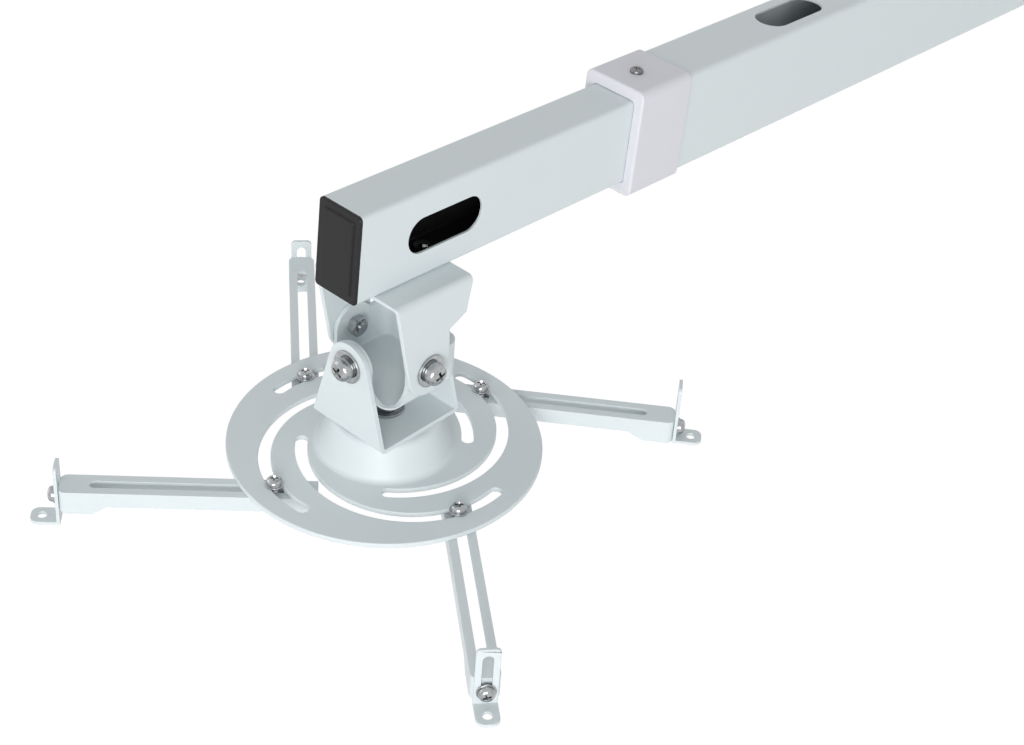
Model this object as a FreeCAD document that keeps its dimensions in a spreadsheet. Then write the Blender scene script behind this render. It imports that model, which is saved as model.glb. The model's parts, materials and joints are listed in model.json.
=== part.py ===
import FreeCAD, Part
import math
import os
from types import SimpleNamespace

import Sketcher

# Telescopic projector wall mount: a wall plate with a square-cut steel arm that slides out of
# a sleeve, a folded two-axis knuckle under its end, and a round spider plate with four arms.
# Frame: the wall is the plane y = 0, the arm reaches along -Y, +Z is up. Millimetres.

SIZES = [
    # wall plate
    ("plate_width", 110, "wall plate, side to side"),
    ("plate_height", 170, "wall plate, top to bottom"),
    ("plate_thick", 4, "wall plate sheet"),
    ("plate_corner", 10, "wall plate corner radius"),
    ("fixing_dia", 8.5, "wall screw hole"),
    ("fixing_across", 80, "wall screw holes, side to side"),
    ("fixing_up", 130, "wall screw holes, top to bottom"),
    ("weld_leg", 4, "leg of the weld round the outer tube"),
    # telescopic tubes
    ("reach", 800, "wall to the inner tube's end at rest"),
    ("outer_width", 37, "outer tube, side to side"),
    ("outer_height", 60, "outer tube, top to bottom"),
    ("outer_wall", 1.5, "outer tube wall"),
    ("outer_corner", 3, "outer tube corner radius"),
    ("inner_width", 29, "inner tube, side to side"),
    ("inner_height", 50, "inner tube, top to bottom"),
    ("inner_wall", 1.5, "inner tube wall"),
    ("inner_corner", 2.5, "inner tube corner radius"),
    ("inner_length", 318, "inner tube length"),
    ("mouth_setback", 208, "inner tube's end to the outer tube's mouth at rest"),
    ("cable_slot_length", 53, "cable slot, tip to tip"),
    ("cable_slot_width", 20.4, "cable slot width"),
    ("cable_slot_front", 33, "inner tube's end to its cable slot"),
    ("entry_slot_back", 127, "outer tube's mouth to its cable slot"),
    # collar, guide and cap
    ("collar_wall", 2, "collar wall over the outer tube"),
    ("collar_length", 42, "collar, front to back"),
    ("collar_lip", 6, "collar in front of the outer tube's mouth"),
    ("collar_corner", 4.5, "collar corner radius"),
    ("collar_edge", 1.5, "rounding of the collar's front edge"),
    ("sleeve_length", 30, "collar sleeve inside the outer tube"),
    ("sliding_gap", 0.3, "clearance round the inner tube"),
    ("seat_gap", 0.1, "clearance of a fixed plastic seat"),
    ("lock_setback", 18, "collar's front to its lock screw"),
    ("lock_dia", 5, "lock screw shank"),
    ("lock_head_dia", 7.5, "lock screw head"),
    ("lock_head_height", 2.6, "lock screw head height"),
    ("guide_flange", 6, "slide guide flange behind the inner tube"),
    ("guide_spigot", 18, "slide guide spigot inside the inner tube"),
    ("guide_wall", 2.5, "slide guide spigot wall"),
    ("cap_flange", 1.7, "end cap flange in front of the inner tube"),
    ("cap_plug", 14, "end cap plug inside the inner tube"),
    ("cap_wall", 2.2, "end cap plug wall"),
    ("cap_margin", 4, "end cap flange round its raised panel"),
    ("cap_panel", 0.8, "end cap panel, raised from the flange"),
    ("cap_edge", 0.6, "end cap edge chamfer"),
    # hanger bracket under the inner tube
    ("hanger_sheet", 2.5, "hanger bracket sheet"),
    ("hanger_width", 60.6, "hanger bracket over its ears"),
    ("hanger_front", 27.3, "pivot to the hanger's front edge"),
    ("hanger_rear", 27, "pivot to the hanger's rear edge"),
    ("hanger_bend", 1.2, "hanger inner bend radius"),
    ("hanger_round", 14.5, "hanger ear end radius"),
    ("shoulder_back", 24, "pivot to the ear's shoulder"),
    ("shoulder_rise", 26, "ear's shoulder above the pivot"),
    ("waist_back", 12.5, "pivot to the ear's waist"),
    ("waist_rise", 20, "ear's waist above the pivot"),
    ("hanger_pitch", 40, "hanger bolts, front to rear"),
    ("pivot_setback", 40, "inner tube's end to the pivot centre"),
    ("pivot_drop", 46.5, "inner tube's underside to the pivot centre"),
    # pivot hardware
    ("pivot_dia", 6, "pivot and hanger bolt shank"),
    ("pivot_head_dia", 12, "pivot bolt head"),
    ("pivot_head_height", 4.2, "pivot bolt head height"),
    ("pivot_washer_dia", 15.5, "pivot washer"),
    ("pivot_washer_thick", 1.4, "pivot washer thickness"),
    ("pivot_nut_across", 10, "pivot nut across flats"),
    ("pivot_nut_thick", 5, "pivot nut thickness"),
    ("thread_tail", 1.5, "thread past a nut"),
    ("bolt_clear", 0.1, "radial clearance of a bolt in its hole"),
    ("pivot_gap", 0.3, "clearance between pivoting flanges"),
    # knuckle
    ("knuckle_sheet", 2.5, "knuckle sheet"),
    ("knuckle_round", 12.5, "knuckle flange end radius"),
    ("knuckle_drop", 18.5, "pivot to the knuckle's underside"),
    ("knuckle_corner", 8, "knuckle corner radius, seen from above"),
    ("knuckle_bend", 1.5, "knuckle inner radius between floor and walls"),
    ("knuckle_rim", 3, "low rim at the knuckle's front corners"),
    ("knuckle_sweep", 9.5, "radius between a flange and the low rim"),
    ("knuckle_rear", 5, "pivot to the start of the knuckle's rear wall"),
    ("knuckle_rear_rise", 6, "knuckle's rear wall above the pivot"),
    # yoke
    ("yoke_sheet", 2.5, "yoke sheet"),
    ("yoke_span", 57, "yoke over its ears"),
    ("yoke_round", 13.5, "yoke ear end radius"),
    ("yoke_base_width", 51, "yoke base, side to side"),
    ("yoke_drop", 43.5, "pivot to the yoke's underside"),
    ("yoke_bend", 1.2, "yoke inner bend radius"),
    # swivel hardware
    ("swivel_dia", 8, "swivel bolt shank"),
    ("swivel_head_dia", 17, "swivel bolt head"),
    ("swivel_head_height", 4.5, "swivel bolt head height"),
    ("swivel_washer_dia", 20, "swivel washer"),
    ("swivel_washer_thick", 1.6, "swivel washer thickness"),
    ("swivel_nut_across", 13, "swivel nut across flats"),
    ("swivel_nut_thick", 6.5, "swivel nut thickness"),
    # spider plate
    ("spider_dia", 169, "spider plate"),
    ("spider_sheet", 3, "spider plate sheet"),
    ("spider_drop", 62.6, "pivot to the spider plate's top face"),
    ("boss_base_dia", 74, "pressed boss at the plate"),
    ("boss_top_dia", 58, "pressed boss at the yoke"),
    ("boss_fillet", 4, "rounding of the pressed boss"),
    ("slot_width", 6.6, "spiral slot width"),
    ("slot_radius", 57.4, "spiral slot arc radius"),
    ("slot_offset", 14.3, "plate centre to the slot's arc centre"),
    ("slot_offset_turn", 200, "direction of the slot's arc centre, degrees"),
    ("slot_start", 41, "slot's inner end, degrees round its arc"),
    ("slot_sweep", 146, "slot length, degrees round its arc"),
    # arms
    ("arm_sheet", 1.8, "arm sheet"),
    ("arm_width", 15, "arm, side to side"),
    ("arm_length", 133, "arm, end to end"),
    ("arm_depth", 9, "arm flange depth"),
    ("arm_end_depth", 14, "arm flange depth at its outer end"),
    ("arm_lobe", 17, "length of the deep outer end"),
    ("arm_lobe_ramp", 8, "length of the slope up to the deep end"),
    ("arm_corner", 4, "arm outer corner radius"),
    ("arm_inner_corner", 1.7, "drawn corner inside the arm's outer end"),
    ("arm_slot_width", 5.6, "arm slot width"),
    ("arm_slot_length", 112, "arm slot, tip to tip"),
    ("arm_slot_margin", 15.5, "arm's outer end to its slot"),
    ("arm_gap", 0.2, "clearance between the arms and the spider plate"),
    # small hardware of the arms and feet
    ("small_dia", 5, "arm bolt and foot screw shank"),
    ("small_head_dia", 8.5, "arm bolt and foot screw head"),
    ("small_head_height", 3.4, "arm bolt and foot screw head height"),
    ("small_washer_dia", 10, "small washer"),
    ("small_washer_thick", 1, "small washer thickness"),
    ("small_nut_across", 8, "small nut across flats"),
    ("small_nut_thick", 4, "small nut thickness"),
    # feet
    ("foot_sheet", 1.8, "foot sheet"),
    ("foot_width", 12, "foot, side to side"),
    ("foot_leg", 36.5, "foot leg height"),
    ("foot_corner", 2.5, "foot leg corner radius"),
    ("foot_tab_corner", 4.5, "foot tab corner radius"),
    ("foot_slot_width", 5.4, "foot slot width"),
    ("foot_slot_low", 4.5, "foot's underside to its slot"),
    ("foot_slot_high", 4.3, "foot slot to the leg's top"),
    ("foot_tab", 16, "arm's end to the tip of the foot's tab"),
    ("foot_eye_dia", 5, "projector screw eye"),
    ("foot_eye_out", 10, "arm's end to the eye's centre"),
    ("foot_screw_drop", 7, "arm's top face to the foot screw"),
    # how the mount is set in its rest pose
    ("tilt_set", 3.3, "tilt of the head about the X pivot, degrees"),
    ("front_left_turn", 163, "front left bolt in its slot, degrees round the arc"),
    ("front_left_heading", -135.3, "direction of the front left arm, degrees"),
    ("front_left_out", 110.5, "bolt to the front left arm's end"),
    ("front_left_drop", 23.3, "front left arm's top face to its foot's underside"),
    ("front_right_turn", 161.5, "front right bolt in its slot, degrees round the arc"),
    ("front_right_heading", -39.5, "direction of the front right arm, degrees"),
    ("front_right_out", 117.5, "bolt to the front right arm's end"),
    ("front_right_drop", 16.4, "front right arm's top face to its foot's underside"),
    ("rear_right_turn", 171, "rear right bolt in its slot, degrees round the arc"),
    ("rear_right_heading", 37, "direction of the rear right arm, degrees"),
    ("rear_right_out", 108.5, "bolt to the rear right arm's end"),
    ("rear_right_drop", 14.7, "rear right arm's top face to its foot's underside"),
    ("rear_left_turn", 168.5, "rear left bolt in its slot, degrees round the arc"),
    ("rear_left_heading", 138.5, "direction of the rear left arm, degrees"),
    ("rear_left_out", 124, "bolt to the rear left arm's end"),
    ("rear_left_drop", 25.5, "rear left arm's top face to its foot's underside"),
]

# The slots run anticlockwise from the rear left one, and each carries one arm.
ARM_NAMES = ["rear_left", "front_left", "front_right", "rear_right"]


class Size:
    """A length or angle with the sheet expression that gives it."""

    def __init__(self, value, text):
        self.value = value
        self.text = text

    def __add__(self, other):
        other = as_size(other)
        return Size(self.value + other.value, f"({self.text} + {other.text})")

    def __sub__(self, other):
        other = as_size(other)
        return Size(self.value - other.value, f"({self.text} - {other.text})")

    def __mul__(self, other):
        other = as_size(other)
        return Size(self.value * other.value, f"({self.text} * {other.text})")

    def __truediv__(self, other):
        other = as_size(other)
        return Size(self.value / other.value, f"({self.text} / {other.text})")

    def __neg__(self):
        return Size(-self.value, f"(0 - {self.text})")


def as_size(value):
    if isinstance(value, Size):
        return value
    return Size(value, f"({value})")


def cosine(angle):
    return Size(math.cos(math.radians(angle.value)), f"cos({angle.text})")


def sine(angle):
    return Size(math.sin(math.radians(angle.value)), f"sin({angle.text})")


doc = FreeCAD.newDocument("projector_wall_mount")
sheet = doc.addObject("Spreadsheet::Sheet", "sizes")
dim = SimpleNamespace()
for row, (alias, value, note) in enumerate(SIZES, start=1):
    sheet.set(f"A{row}", note)
    sheet.set(f"B{row}", str(value))
    sheet.setAlias(f"B{row}", alias)
    setattr(dim, alias, Size(value, f"sizes.{alias}"))
doc.recompute()


# Sketch helpers

def new_body(label):
    body = doc.addObject("PartDesign::Body", label)
    body.Label = label
    return body


def new_sketch(body, plane, offset=None):
    sketch = body.newObject("Sketcher::SketchObject", body.Name + "_sketch")
    support = next(f for f in body.Origin.OriginFeatures if f.Role == plane)
    sketch.AttachmentSupport = [(support, "")]
    sketch.MapMode = "FlatFace"
    if offset is not None:
        sketch.setExpression("AttachmentOffset.Base.z", as_size(offset).text)
    return sketch


def constrain(sketch, kind, *arguments):
    value = as_size(arguments[-1])
    index = sketch.addConstraint(Sketcher.Constraint(kind, *arguments[:-1], value.value))
    sketch.setExpression(f"Constraints[{index}]", value.text)


def pin(sketch, geometry, vertex, x, y):
    constrain(sketch, "DistanceX", geometry, vertex, x)
    constrain(sketch, "DistanceY", geometry, vertex, y)


def point(x, y):
    return FreeCAD.Vector(as_size(x).value, as_size(y).value, 0)


def arc(centre, radius, start, end):
    circle = Part.Circle(centre, FreeCAD.Vector(0, 0, 1), radius)
    return Part.ArcOfCircle(circle, start, end)


def draw_chain(sketch, corners):
    """Joined straight edges whose corners are all pinned; returns the first and last edge."""
    first = sketch.GeometryCount
    for start, end in zip(corners, corners[1:]):
        sketch.addGeometry(Part.LineSegment(point(*start), point(*end)))
    last = sketch.GeometryCount - 1
    for edge in range(first, last):
        sketch.addConstraint(Sketcher.Constraint("Coincident", edge, 2, edge + 1, 1))
    for edge, corner in enumerate(corners[:-1], start=first):
        pin(sketch, edge, 1, *corner)
    return first, last


def draw_polygon(sketch, corners):
    first, last = draw_chain(sketch, corners + corners[:1])
    sketch.addConstraint(Sketcher.Constraint("Coincident", last, 2, first, 1))


def draw_circle(sketch, x, y, radius):
    centre = point(x, y)
    index = sketch.addGeometry(Part.Circle(centre, FreeCAD.Vector(0, 0, 1), as_size(radius).value))
    pin(sketch, index, 3, x, y)
    constrain(sketch, "Radius", index, radius)


def draw_rounded_rectangle(sketch, width, height, corner):
    half_x = width / 2
    half_y = height / 2
    x, y, r = half_x.value, half_y.value, corner.value
    edges = [
        ((r - x, -y), (x - r, -y)),
        ((x, r - y), (x, y - r)),
        ((x - r, y), (r - x, y)),
        ((-x, y - r), (-x, r - y)),
    ]
    centres = [(x - r, r - y), (x - r, y - r), (r - x, y - r), (r - x, r - y)]
    first = sketch.GeometryCount
    for step, (start, end) in enumerate(edges):
        sketch.addGeometry(Part.LineSegment(point(*start), point(*end)))
        turn = math.radians(90 * step - 90)
        sketch.addGeometry(arc(point(*centres[step]), r, turn, turn + math.pi / 2))
    for step in range(4):
        edge = first + 2 * step
        following = first + 2 * ((step + 1) % 4)
        sketch.addConstraint(Sketcher.Constraint("Tangent", edge, 2, edge + 1, 1))
        sketch.addConstraint(Sketcher.Constraint("Tangent", edge + 1, 2, following, 1))
    constrain(sketch, "DistanceY", first, 1, -half_y)
    constrain(sketch, "DistanceX", first + 2, 1, half_x)
    constrain(sketch, "DistanceY", first + 4, 1, half_y)
    constrain(sketch, "DistanceX", first + 6, 1, -half_x)
    for step in range(4):
        constrain(sketch, "Radius", first + 2 * step + 1, corner)


def draw_obround(sketch, start, end, radius):
    """A slot with round ends between two pinned end centres."""
    a, b, r = point(*start), point(*end), as_size(radius).value
    along = (b - a).normalize()
    across = FreeCAD.Vector(-along.y, along.x, 0) * r
    turn = math.atan2(along.y, along.x)
    first = sketch.GeometryCount
    sketch.addGeometry(Part.LineSegment(a - across, b - across))
    sketch.addGeometry(arc(b, r, turn - math.pi / 2, turn + math.pi / 2))
    sketch.addGeometry(Part.LineSegment(b + across, a + across))
    sketch.addGeometry(arc(a, r, turn + math.pi / 2, turn + 3 * math.pi / 2))
    for edge in range(4):
        following = first + (edge + 1) % 4
        sketch.addConstraint(Sketcher.Constraint("Tangent", first + edge, 2, following, 1))
    pin(sketch, first + 1, 3, *end)
    pin(sketch, first + 3, 3, *start)
    constrain(sketch, "Radius", first + 1, radius)


def draw_arc_slot(sketch, centre, radius, width, start, sweep):
    """A slot that follows an arc, with round ends."""
    c, r, w = point(*centre), radius.value, width.value
    begin = math.radians(start.value)
    finish = begin + math.radians(sweep.value)
    inner = sketch.addGeometry(arc(c, r - w / 2, begin, finish))
    outer = sketch.addGeometry(arc(c, r + w / 2, begin, finish))
    tips = []
    for angle, turn in ((begin, begin + math.pi), (finish, finish)):
        tip = c + FreeCAD.Vector(r * math.cos(angle), r * math.sin(angle), 0)
        tips.append(sketch.addGeometry(arc(tip, w / 2, turn, turn + math.pi)))
    sketch.addConstraint(Sketcher.Constraint("Tangent", inner, 1, tips[0], 1))
    sketch.addConstraint(Sketcher.Constraint("Tangent", tips[0], 2, outer, 1))
    sketch.addConstraint(Sketcher.Constraint("Tangent", outer, 2, tips[1], 1))
    sketch.addConstraint(Sketcher.Constraint("Tangent", tips[1], 2, inner, 2))
    pin(sketch, inner, 3, *centre)
    pin(sketch, tips[0], 3, centre[0] + radius * cosine(start), centre[1] + radius * sine(start))
    end = start + sweep
    pin(sketch, tips[1], 3, centre[0] + radius * cosine(end), centre[1] + radius * sine(end))
    constrain(sketch, "Radius", outer, radius + width / 2)


def tangent_turn(corner, radius, side):
    """Angle of the point where the line from a corner touches a circle round the origin."""
    distance = math.hypot(corner[0].value, corner[1].value)
    facing = math.atan2(corner[1].value, corner[0].value)
    return facing + side * math.acos(radius.value / distance)


def draw_ear(sketch, corners, radius):
    """Anticlockwise outline: straight edges between corners, closed by a tangent round end."""
    begin = tangent_turn(corners[-1], radius, 1)
    finish = tangent_turn(corners[0], radius, -1)
    while finish < begin:
        finish += 2 * math.pi
    origin = point(0, 0)
    first, last = draw_chain(sketch, corners)
    round_end = sketch.addGeometry(arc(origin, radius.value, begin, finish))
    touch_start = FreeCAD.Vector(math.cos(begin), math.sin(begin), 0) * radius.value
    touch_end = FreeCAD.Vector(math.cos(finish), math.sin(finish), 0) * radius.value
    rising = sketch.addGeometry(Part.LineSegment(point(*corners[-1]), touch_start))
    falling = sketch.addGeometry(Part.LineSegment(touch_end, point(*corners[0])))
    sketch.addConstraint(Sketcher.Constraint("Coincident", last, 2, rising, 1))
    sketch.addConstraint(Sketcher.Constraint("Coincident", falling, 2, first, 1))
    sketch.addConstraint(Sketcher.Constraint("Tangent", rising, 2, round_end, 1))
    sketch.addConstraint(Sketcher.Constraint("Tangent", round_end, 2, falling, 1))
    pin(sketch, rising, 1, *corners[-1])
    sketch.addConstraint(Sketcher.Constraint("Coincident", round_end, 3, -1, 1))
    constrain(sketch, "Radius", round_end, radius)


# Feature helpers

def add_feature(kind, body, sketch, length, symmetric=False, backwards=False):
    feature = body.newObject("PartDesign::" + kind, body.Name + "_" + kind.lower())
    feature.Profile = sketch
    feature.setExpression("Length", as_size(length).text)
    if symmetric:
        feature.SideType = "Symmetric"
    feature.Reversed = backwards
    doc.recompute()
    return feature


def pad(body, sketch, length, symmetric=False, backwards=False):
    return add_feature("Pad", body, sketch, length, symmetric, backwards)


def pocket(body, sketch, length, symmetric=False, backwards=False):
    before = body.Shape.Volume
    feature = add_feature("Pocket", body, sketch, length, symmetric, backwards)
    if body.Shape.Volume > before - 1e-6:
        raise RuntimeError(feature.Name + " cuts nothing")
    return feature


def dress(kind, body, size, wanted):
    """Fillet or chamfer the edges of the body's last feature that the test picks."""
    base = body.Tip
    names = [f"Edge{i}" for i, edge in enumerate(base.Shape.Edges, start=1) if wanted(edge)]
    feature = body.newObject("PartDesign::" + kind, body.Name + "_" + kind.lower())
    feature.Base = (base, names)
    feature.setExpression("Radius" if kind == "Fillet" else "Size", as_size(size).text)
    doc.recompute()
    return feature


def revolve(body, sketch):
    feature = body.newObject("PartDesign::Revolution", body.Name + "_revolution")
    feature.Profile = sketch
    feature.ReferenceAxis = (sketch, ["V_Axis"])
    feature.Angle = 360
    doc.recompute()
    return feature


def tool(kind, name, shapes):
    result = doc.addObject("Part::" + kind, name)
    result.Label = name
    if kind == "Cut":
        result.Base, result.Tool = shapes
    elif kind == "Compound":
        result.Links = shapes
    else:
        result.Shapes = shapes
    doc.recompute()
    return result


def shift(x=0, y=0, z=0):
    values = [as_size(v).value for v in (x, y, z)]
    return FreeCAD.Placement(FreeCAD.Vector(*values), FreeCAD.Rotation())


def turn_about(axis, degrees):
    return FreeCAD.Placement(FreeCAD.Vector(), FreeCAD.Rotation(FreeCAD.Vector(*axis), degrees))


# Fasteners, all modelled along +Z with the bearing face of the head or washer at z = 0

def make_screw(label, shank_dia, shank_length, head_dia, head_height, place):
    """Pan head screw: a domed head above z = 0 and a plain shank below."""
    body = new_body(label)
    sketch = new_sketch(body, "XZ_Plane")
    shank = shank_dia / 2
    head = head_dia / 2
    draw_polygon(sketch, [
        (as_size(0), -shank_length),
        (shank, -shank_length),
        (shank, as_size(0)),
        (head, as_size(0)),
        (head, head_height / 2),
        (head * 0.72, head_height),
        (as_size(0), head_height),
    ])
    revolve(body, sketch)
    body.Placement = place
    return body


def make_washer(label, outer_dia, shank_dia, thick, place):
    body = new_body(label)
    sketch = new_sketch(body, "XY_Plane")
    draw_circle(sketch, as_size(0), as_size(0), outer_dia / 2)
    draw_circle(sketch, as_size(0), as_size(0), clear_hole(shank_dia))
    pad(body, sketch, thick)
    body.Placement = place
    return body


def make_nut(label, across, hole_dia, thick, place):
    body = new_body(label)
    sketch = new_sketch(body, "XY_Plane")
    corner_radius = across / math.sqrt(3)
    corners = []
    for side in range(6):
        angle = as_size(60 * side + 30)
        corners.append((corner_radius * cosine(angle), corner_radius * sine(angle)))
    draw_polygon(sketch, corners)
    draw_circle(sketch, as_size(0), as_size(0), hole_dia / 2)
    pad(body, sketch, thick)
    body.Placement = place
    return body


def clear_hole(shank_dia):
    return shank_dia / 2 + dim.bolt_clear


nodes = []


def keep(*objects):
    nodes.extend(objects)


# Places along the arm, as distances from the wall

tube_front = dim.reach
mouth = tube_front - dim.mouth_setback
collar_front = mouth + dim.collar_lip
collar_back = collar_front - dim.collar_length
pivot_out = dim.reach - dim.pivot_setback
pivot_down = dim.inner_height / 2 + dim.pivot_drop


# Wall plate with its four screw holes and the weld round the tube

plate = new_body("wall_plate")
sketch = new_sketch(plate, "XZ_Plane")
draw_rounded_rectangle(sketch, dim.plate_width, dim.plate_height, dim.plate_corner)
for side_x in (-1, 1):
    for side_z in (-1, 1):
        hole_x = dim.fixing_across * (side_x / 2)
        hole_z = dim.fixing_up * (side_z / 2)
        draw_circle(sketch, hole_x, hole_z, dim.fixing_dia / 2)
pad(plate, sketch, dim.plate_thick)
sketch = new_sketch(plate, "XZ_Plane", dim.plate_thick)
weld_width = dim.outer_width + dim.weld_leg * 2
weld_height = dim.outer_height + dim.weld_leg * 2
draw_rounded_rectangle(sketch, weld_width, weld_height, dim.outer_corner + dim.weld_leg)
weld = pad(plate, sketch, dim.weld_leg)
weld.TaperAngle = -45
doc.recompute()
sketch = new_sketch(plate, "XZ_Plane", dim.plate_thick + dim.weld_leg)
draw_rounded_rectangle(sketch, dim.outer_width, dim.outer_height, dim.outer_corner)
pocket(plate, sketch, dim.weld_leg)
keep(plate)


# Outer tube with its cable entry slot on top and the lock screw hole

cavity_width = dim.outer_width - dim.outer_wall * 2
cavity_height = dim.outer_height - dim.outer_wall * 2
cavity_corner = dim.outer_corner - dim.outer_wall
lock_out = collar_front - dim.lock_setback

outer_tube = new_body("outer_tube")
sketch = new_sketch(outer_tube, "XZ_Plane", dim.plate_thick)
draw_rounded_rectangle(sketch, dim.outer_width, dim.outer_height, dim.outer_corner)
draw_rounded_rectangle(sketch, cavity_width, cavity_height, cavity_corner)
pad(outer_tube, sketch, mouth - dim.plate_thick)
sketch = new_sketch(outer_tube, "XY_Plane", dim.outer_height / 2)
slot_round = dim.cable_slot_width / 2
entry_front = mouth - dim.entry_slot_back
entry_near = slot_round - entry_front
entry_far = entry_near + dim.cable_slot_length - dim.cable_slot_width
draw_obround(sketch, (as_size(0), entry_near), (as_size(0), entry_far), slot_round)
draw_circle(sketch, as_size(0), -lock_out, clear_hole(dim.lock_dia))
pocket(outer_tube, sketch, dim.outer_wall * 2)
keep(outer_tube)


# Collar: moulded cover over the tube's mouth with a guide sleeve inside

collar_width = dim.outer_width + dim.collar_wall * 2
collar_height = dim.outer_height + dim.collar_wall * 2
passage_width = dim.inner_width + dim.sliding_gap * 2
passage_height = dim.inner_height + dim.sliding_gap * 2
passage_corner = dim.inner_corner + dim.sliding_gap
seat_width = dim.outer_width + dim.seat_gap * 2
seat_height = dim.outer_height + dim.seat_gap * 2

collar = new_body("collar")
sketch = new_sketch(collar, "XZ_Plane", collar_back)
draw_rounded_rectangle(sketch, collar_width, collar_height, dim.collar_corner)
draw_rounded_rectangle(sketch, seat_width, seat_height, dim.outer_corner + dim.seat_gap)
pad(collar, sketch, dim.collar_length - dim.collar_lip)
sketch = new_sketch(collar, "XZ_Plane", mouth)
draw_rounded_rectangle(sketch, collar_width, collar_height, dim.collar_corner)
draw_rounded_rectangle(sketch, passage_width, passage_height, passage_corner)
pad(collar, sketch, dim.collar_lip)
dress(
    "Fillet", collar, dim.collar_edge,
    lambda edge: edge.BoundBox.YMax < -collar_front.value + 1e-4
    and max(abs(edge.BoundBox.XMax), abs(edge.BoundBox.XMin), abs(edge.BoundBox.ZMax) - 10)
    > passage_width.value / 2 + 1,
)
sketch = new_sketch(collar, "XZ_Plane", mouth)
sleeve_width = cavity_width - dim.seat_gap * 2
sleeve_height = cavity_height - dim.seat_gap * 2
draw_rounded_rectangle(sketch, sleeve_width, sleeve_height, cavity_corner)
draw_rounded_rectangle(sketch, passage_width, passage_height, passage_corner)
pad(collar, sketch, dim.sleeve_length, backwards=True)
sketch = new_sketch(collar, "XY_Plane", collar_height / 2)
draw_circle(sketch, as_size(0), -lock_out, clear_hole(dim.lock_dia))
pocket(collar, sketch, collar_height / 2)
keep(collar)


# Lock screw through the collar and the outer tube, with its tip just over the inner tube

lock_length = collar_height / 2 - dim.inner_height / 2 - dim.sliding_gap
keep(make_screw(
    "lock_screw", dim.lock_dia, lock_length, dim.lock_head_dia, dim.lock_head_height,
    shift(0, -lock_out, collar_height / 2),
))


# Inner tube with its cable slot and the hanger bolt holes in its floor

bore_width = dim.inner_width - dim.inner_wall * 2
bore_height = dim.inner_height - dim.inner_wall * 2
bore_corner = dim.inner_corner - dim.inner_wall
tube_back = tube_front - dim.inner_length
hanger_bolt_outs = [pivot_out + dim.hanger_pitch / 2, pivot_out - dim.hanger_pitch / 2]

inner_tube = new_body("inner_tube")
sketch = new_sketch(inner_tube, "XZ_Plane", tube_back)
draw_rounded_rectangle(sketch, dim.inner_width, dim.inner_height, dim.inner_corner)
draw_rounded_rectangle(sketch, bore_width, bore_height, bore_corner)
pad(inner_tube, sketch, dim.inner_length)
sketch = new_sketch(inner_tube, "YZ_Plane", dim.inner_width / 2)
slot_near = dim.cable_slot_front + slot_round - tube_front
slot_far = slot_near + dim.cable_slot_length - dim.cable_slot_width
draw_obround(sketch, (slot_near, as_size(0)), (slot_far, as_size(0)), slot_round)
pocket(inner_tube, sketch, dim.inner_wall * 2)
sketch = new_sketch(inner_tube, "XY_Plane", -dim.inner_height / 2)
for bolt_out in hanger_bolt_outs:
    draw_circle(sketch, as_size(0), -bolt_out, clear_hole(dim.pivot_dia))
pocket(inner_tube, sketch, dim.inner_wall * 2, backwards=True)
keep(inner_tube)


# Slide guide: moulded bush at the hidden end of the inner tube

spigot_width = bore_width - dim.seat_gap * 2
spigot_height = bore_height - dim.seat_gap * 2
guide_hole_width = spigot_width - dim.guide_wall * 2
guide_hole_height = spigot_height - dim.guide_wall * 2
guide_width = cavity_width - dim.sliding_gap * 2
guide_height = cavity_height - dim.sliding_gap * 2

guide = new_body("slide_guide")
sketch = new_sketch(guide, "XZ_Plane", tube_back)
draw_rounded_rectangle(sketch, guide_width, guide_height, cavity_corner)
draw_rounded_rectangle(sketch, guide_hole_width, guide_hole_height, bore_corner)
pad(guide, sketch, dim.guide_flange, backwards=True)
sketch = new_sketch(guide, "XZ_Plane", tube_back)
draw_rounded_rectangle(sketch, spigot_width, spigot_height, bore_corner)
draw_rounded_rectangle(sketch, guide_hole_width, guide_hole_height, bore_corner)
pad(guide, sketch, dim.guide_spigot)
keep(guide)


# End cap: moulded plug with a flange and a raised panel

cap = new_body("end_cap")
sketch = new_sketch(cap, "XZ_Plane", tube_front)
draw_rounded_rectangle(sketch, dim.inner_width, dim.inner_height, dim.inner_corner)
pad(cap, sketch, dim.cap_flange)
flange_face = tube_front + dim.cap_flange
dress("Chamfer", cap, dim.cap_edge, lambda edge: edge.BoundBox.YMax < -flange_face.value + 1e-4)
sketch = new_sketch(cap, "XZ_Plane", flange_face)
panel_width = dim.inner_width - dim.cap_margin * 2
panel_height = dim.inner_height - dim.cap_margin * 2
draw_rounded_rectangle(sketch, panel_width, panel_height, bore_corner)
pad(cap, sketch, dim.cap_panel)
cap_face = flange_face + dim.cap_panel
dress("Chamfer", cap, dim.cap_edge, lambda edge: edge.BoundBox.YMax < -cap_face.value + 1e-4)
sketch = new_sketch(cap, "XZ_Plane", tube_front)
plug_hole_width = spigot_width - dim.cap_wall * 2
plug_hole_height = spigot_height - dim.cap_wall * 2
draw_rounded_rectangle(sketch, spigot_width, spigot_height, bore_corner)
draw_rounded_rectangle(sketch, plug_hole_width, plug_hole_height, bore_corner)
pad(cap, sketch, dim.cap_plug, backwards=True)
keep(cap)


# Folded sheet helpers: a channel section and an ear outline meet in one bracket

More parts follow.
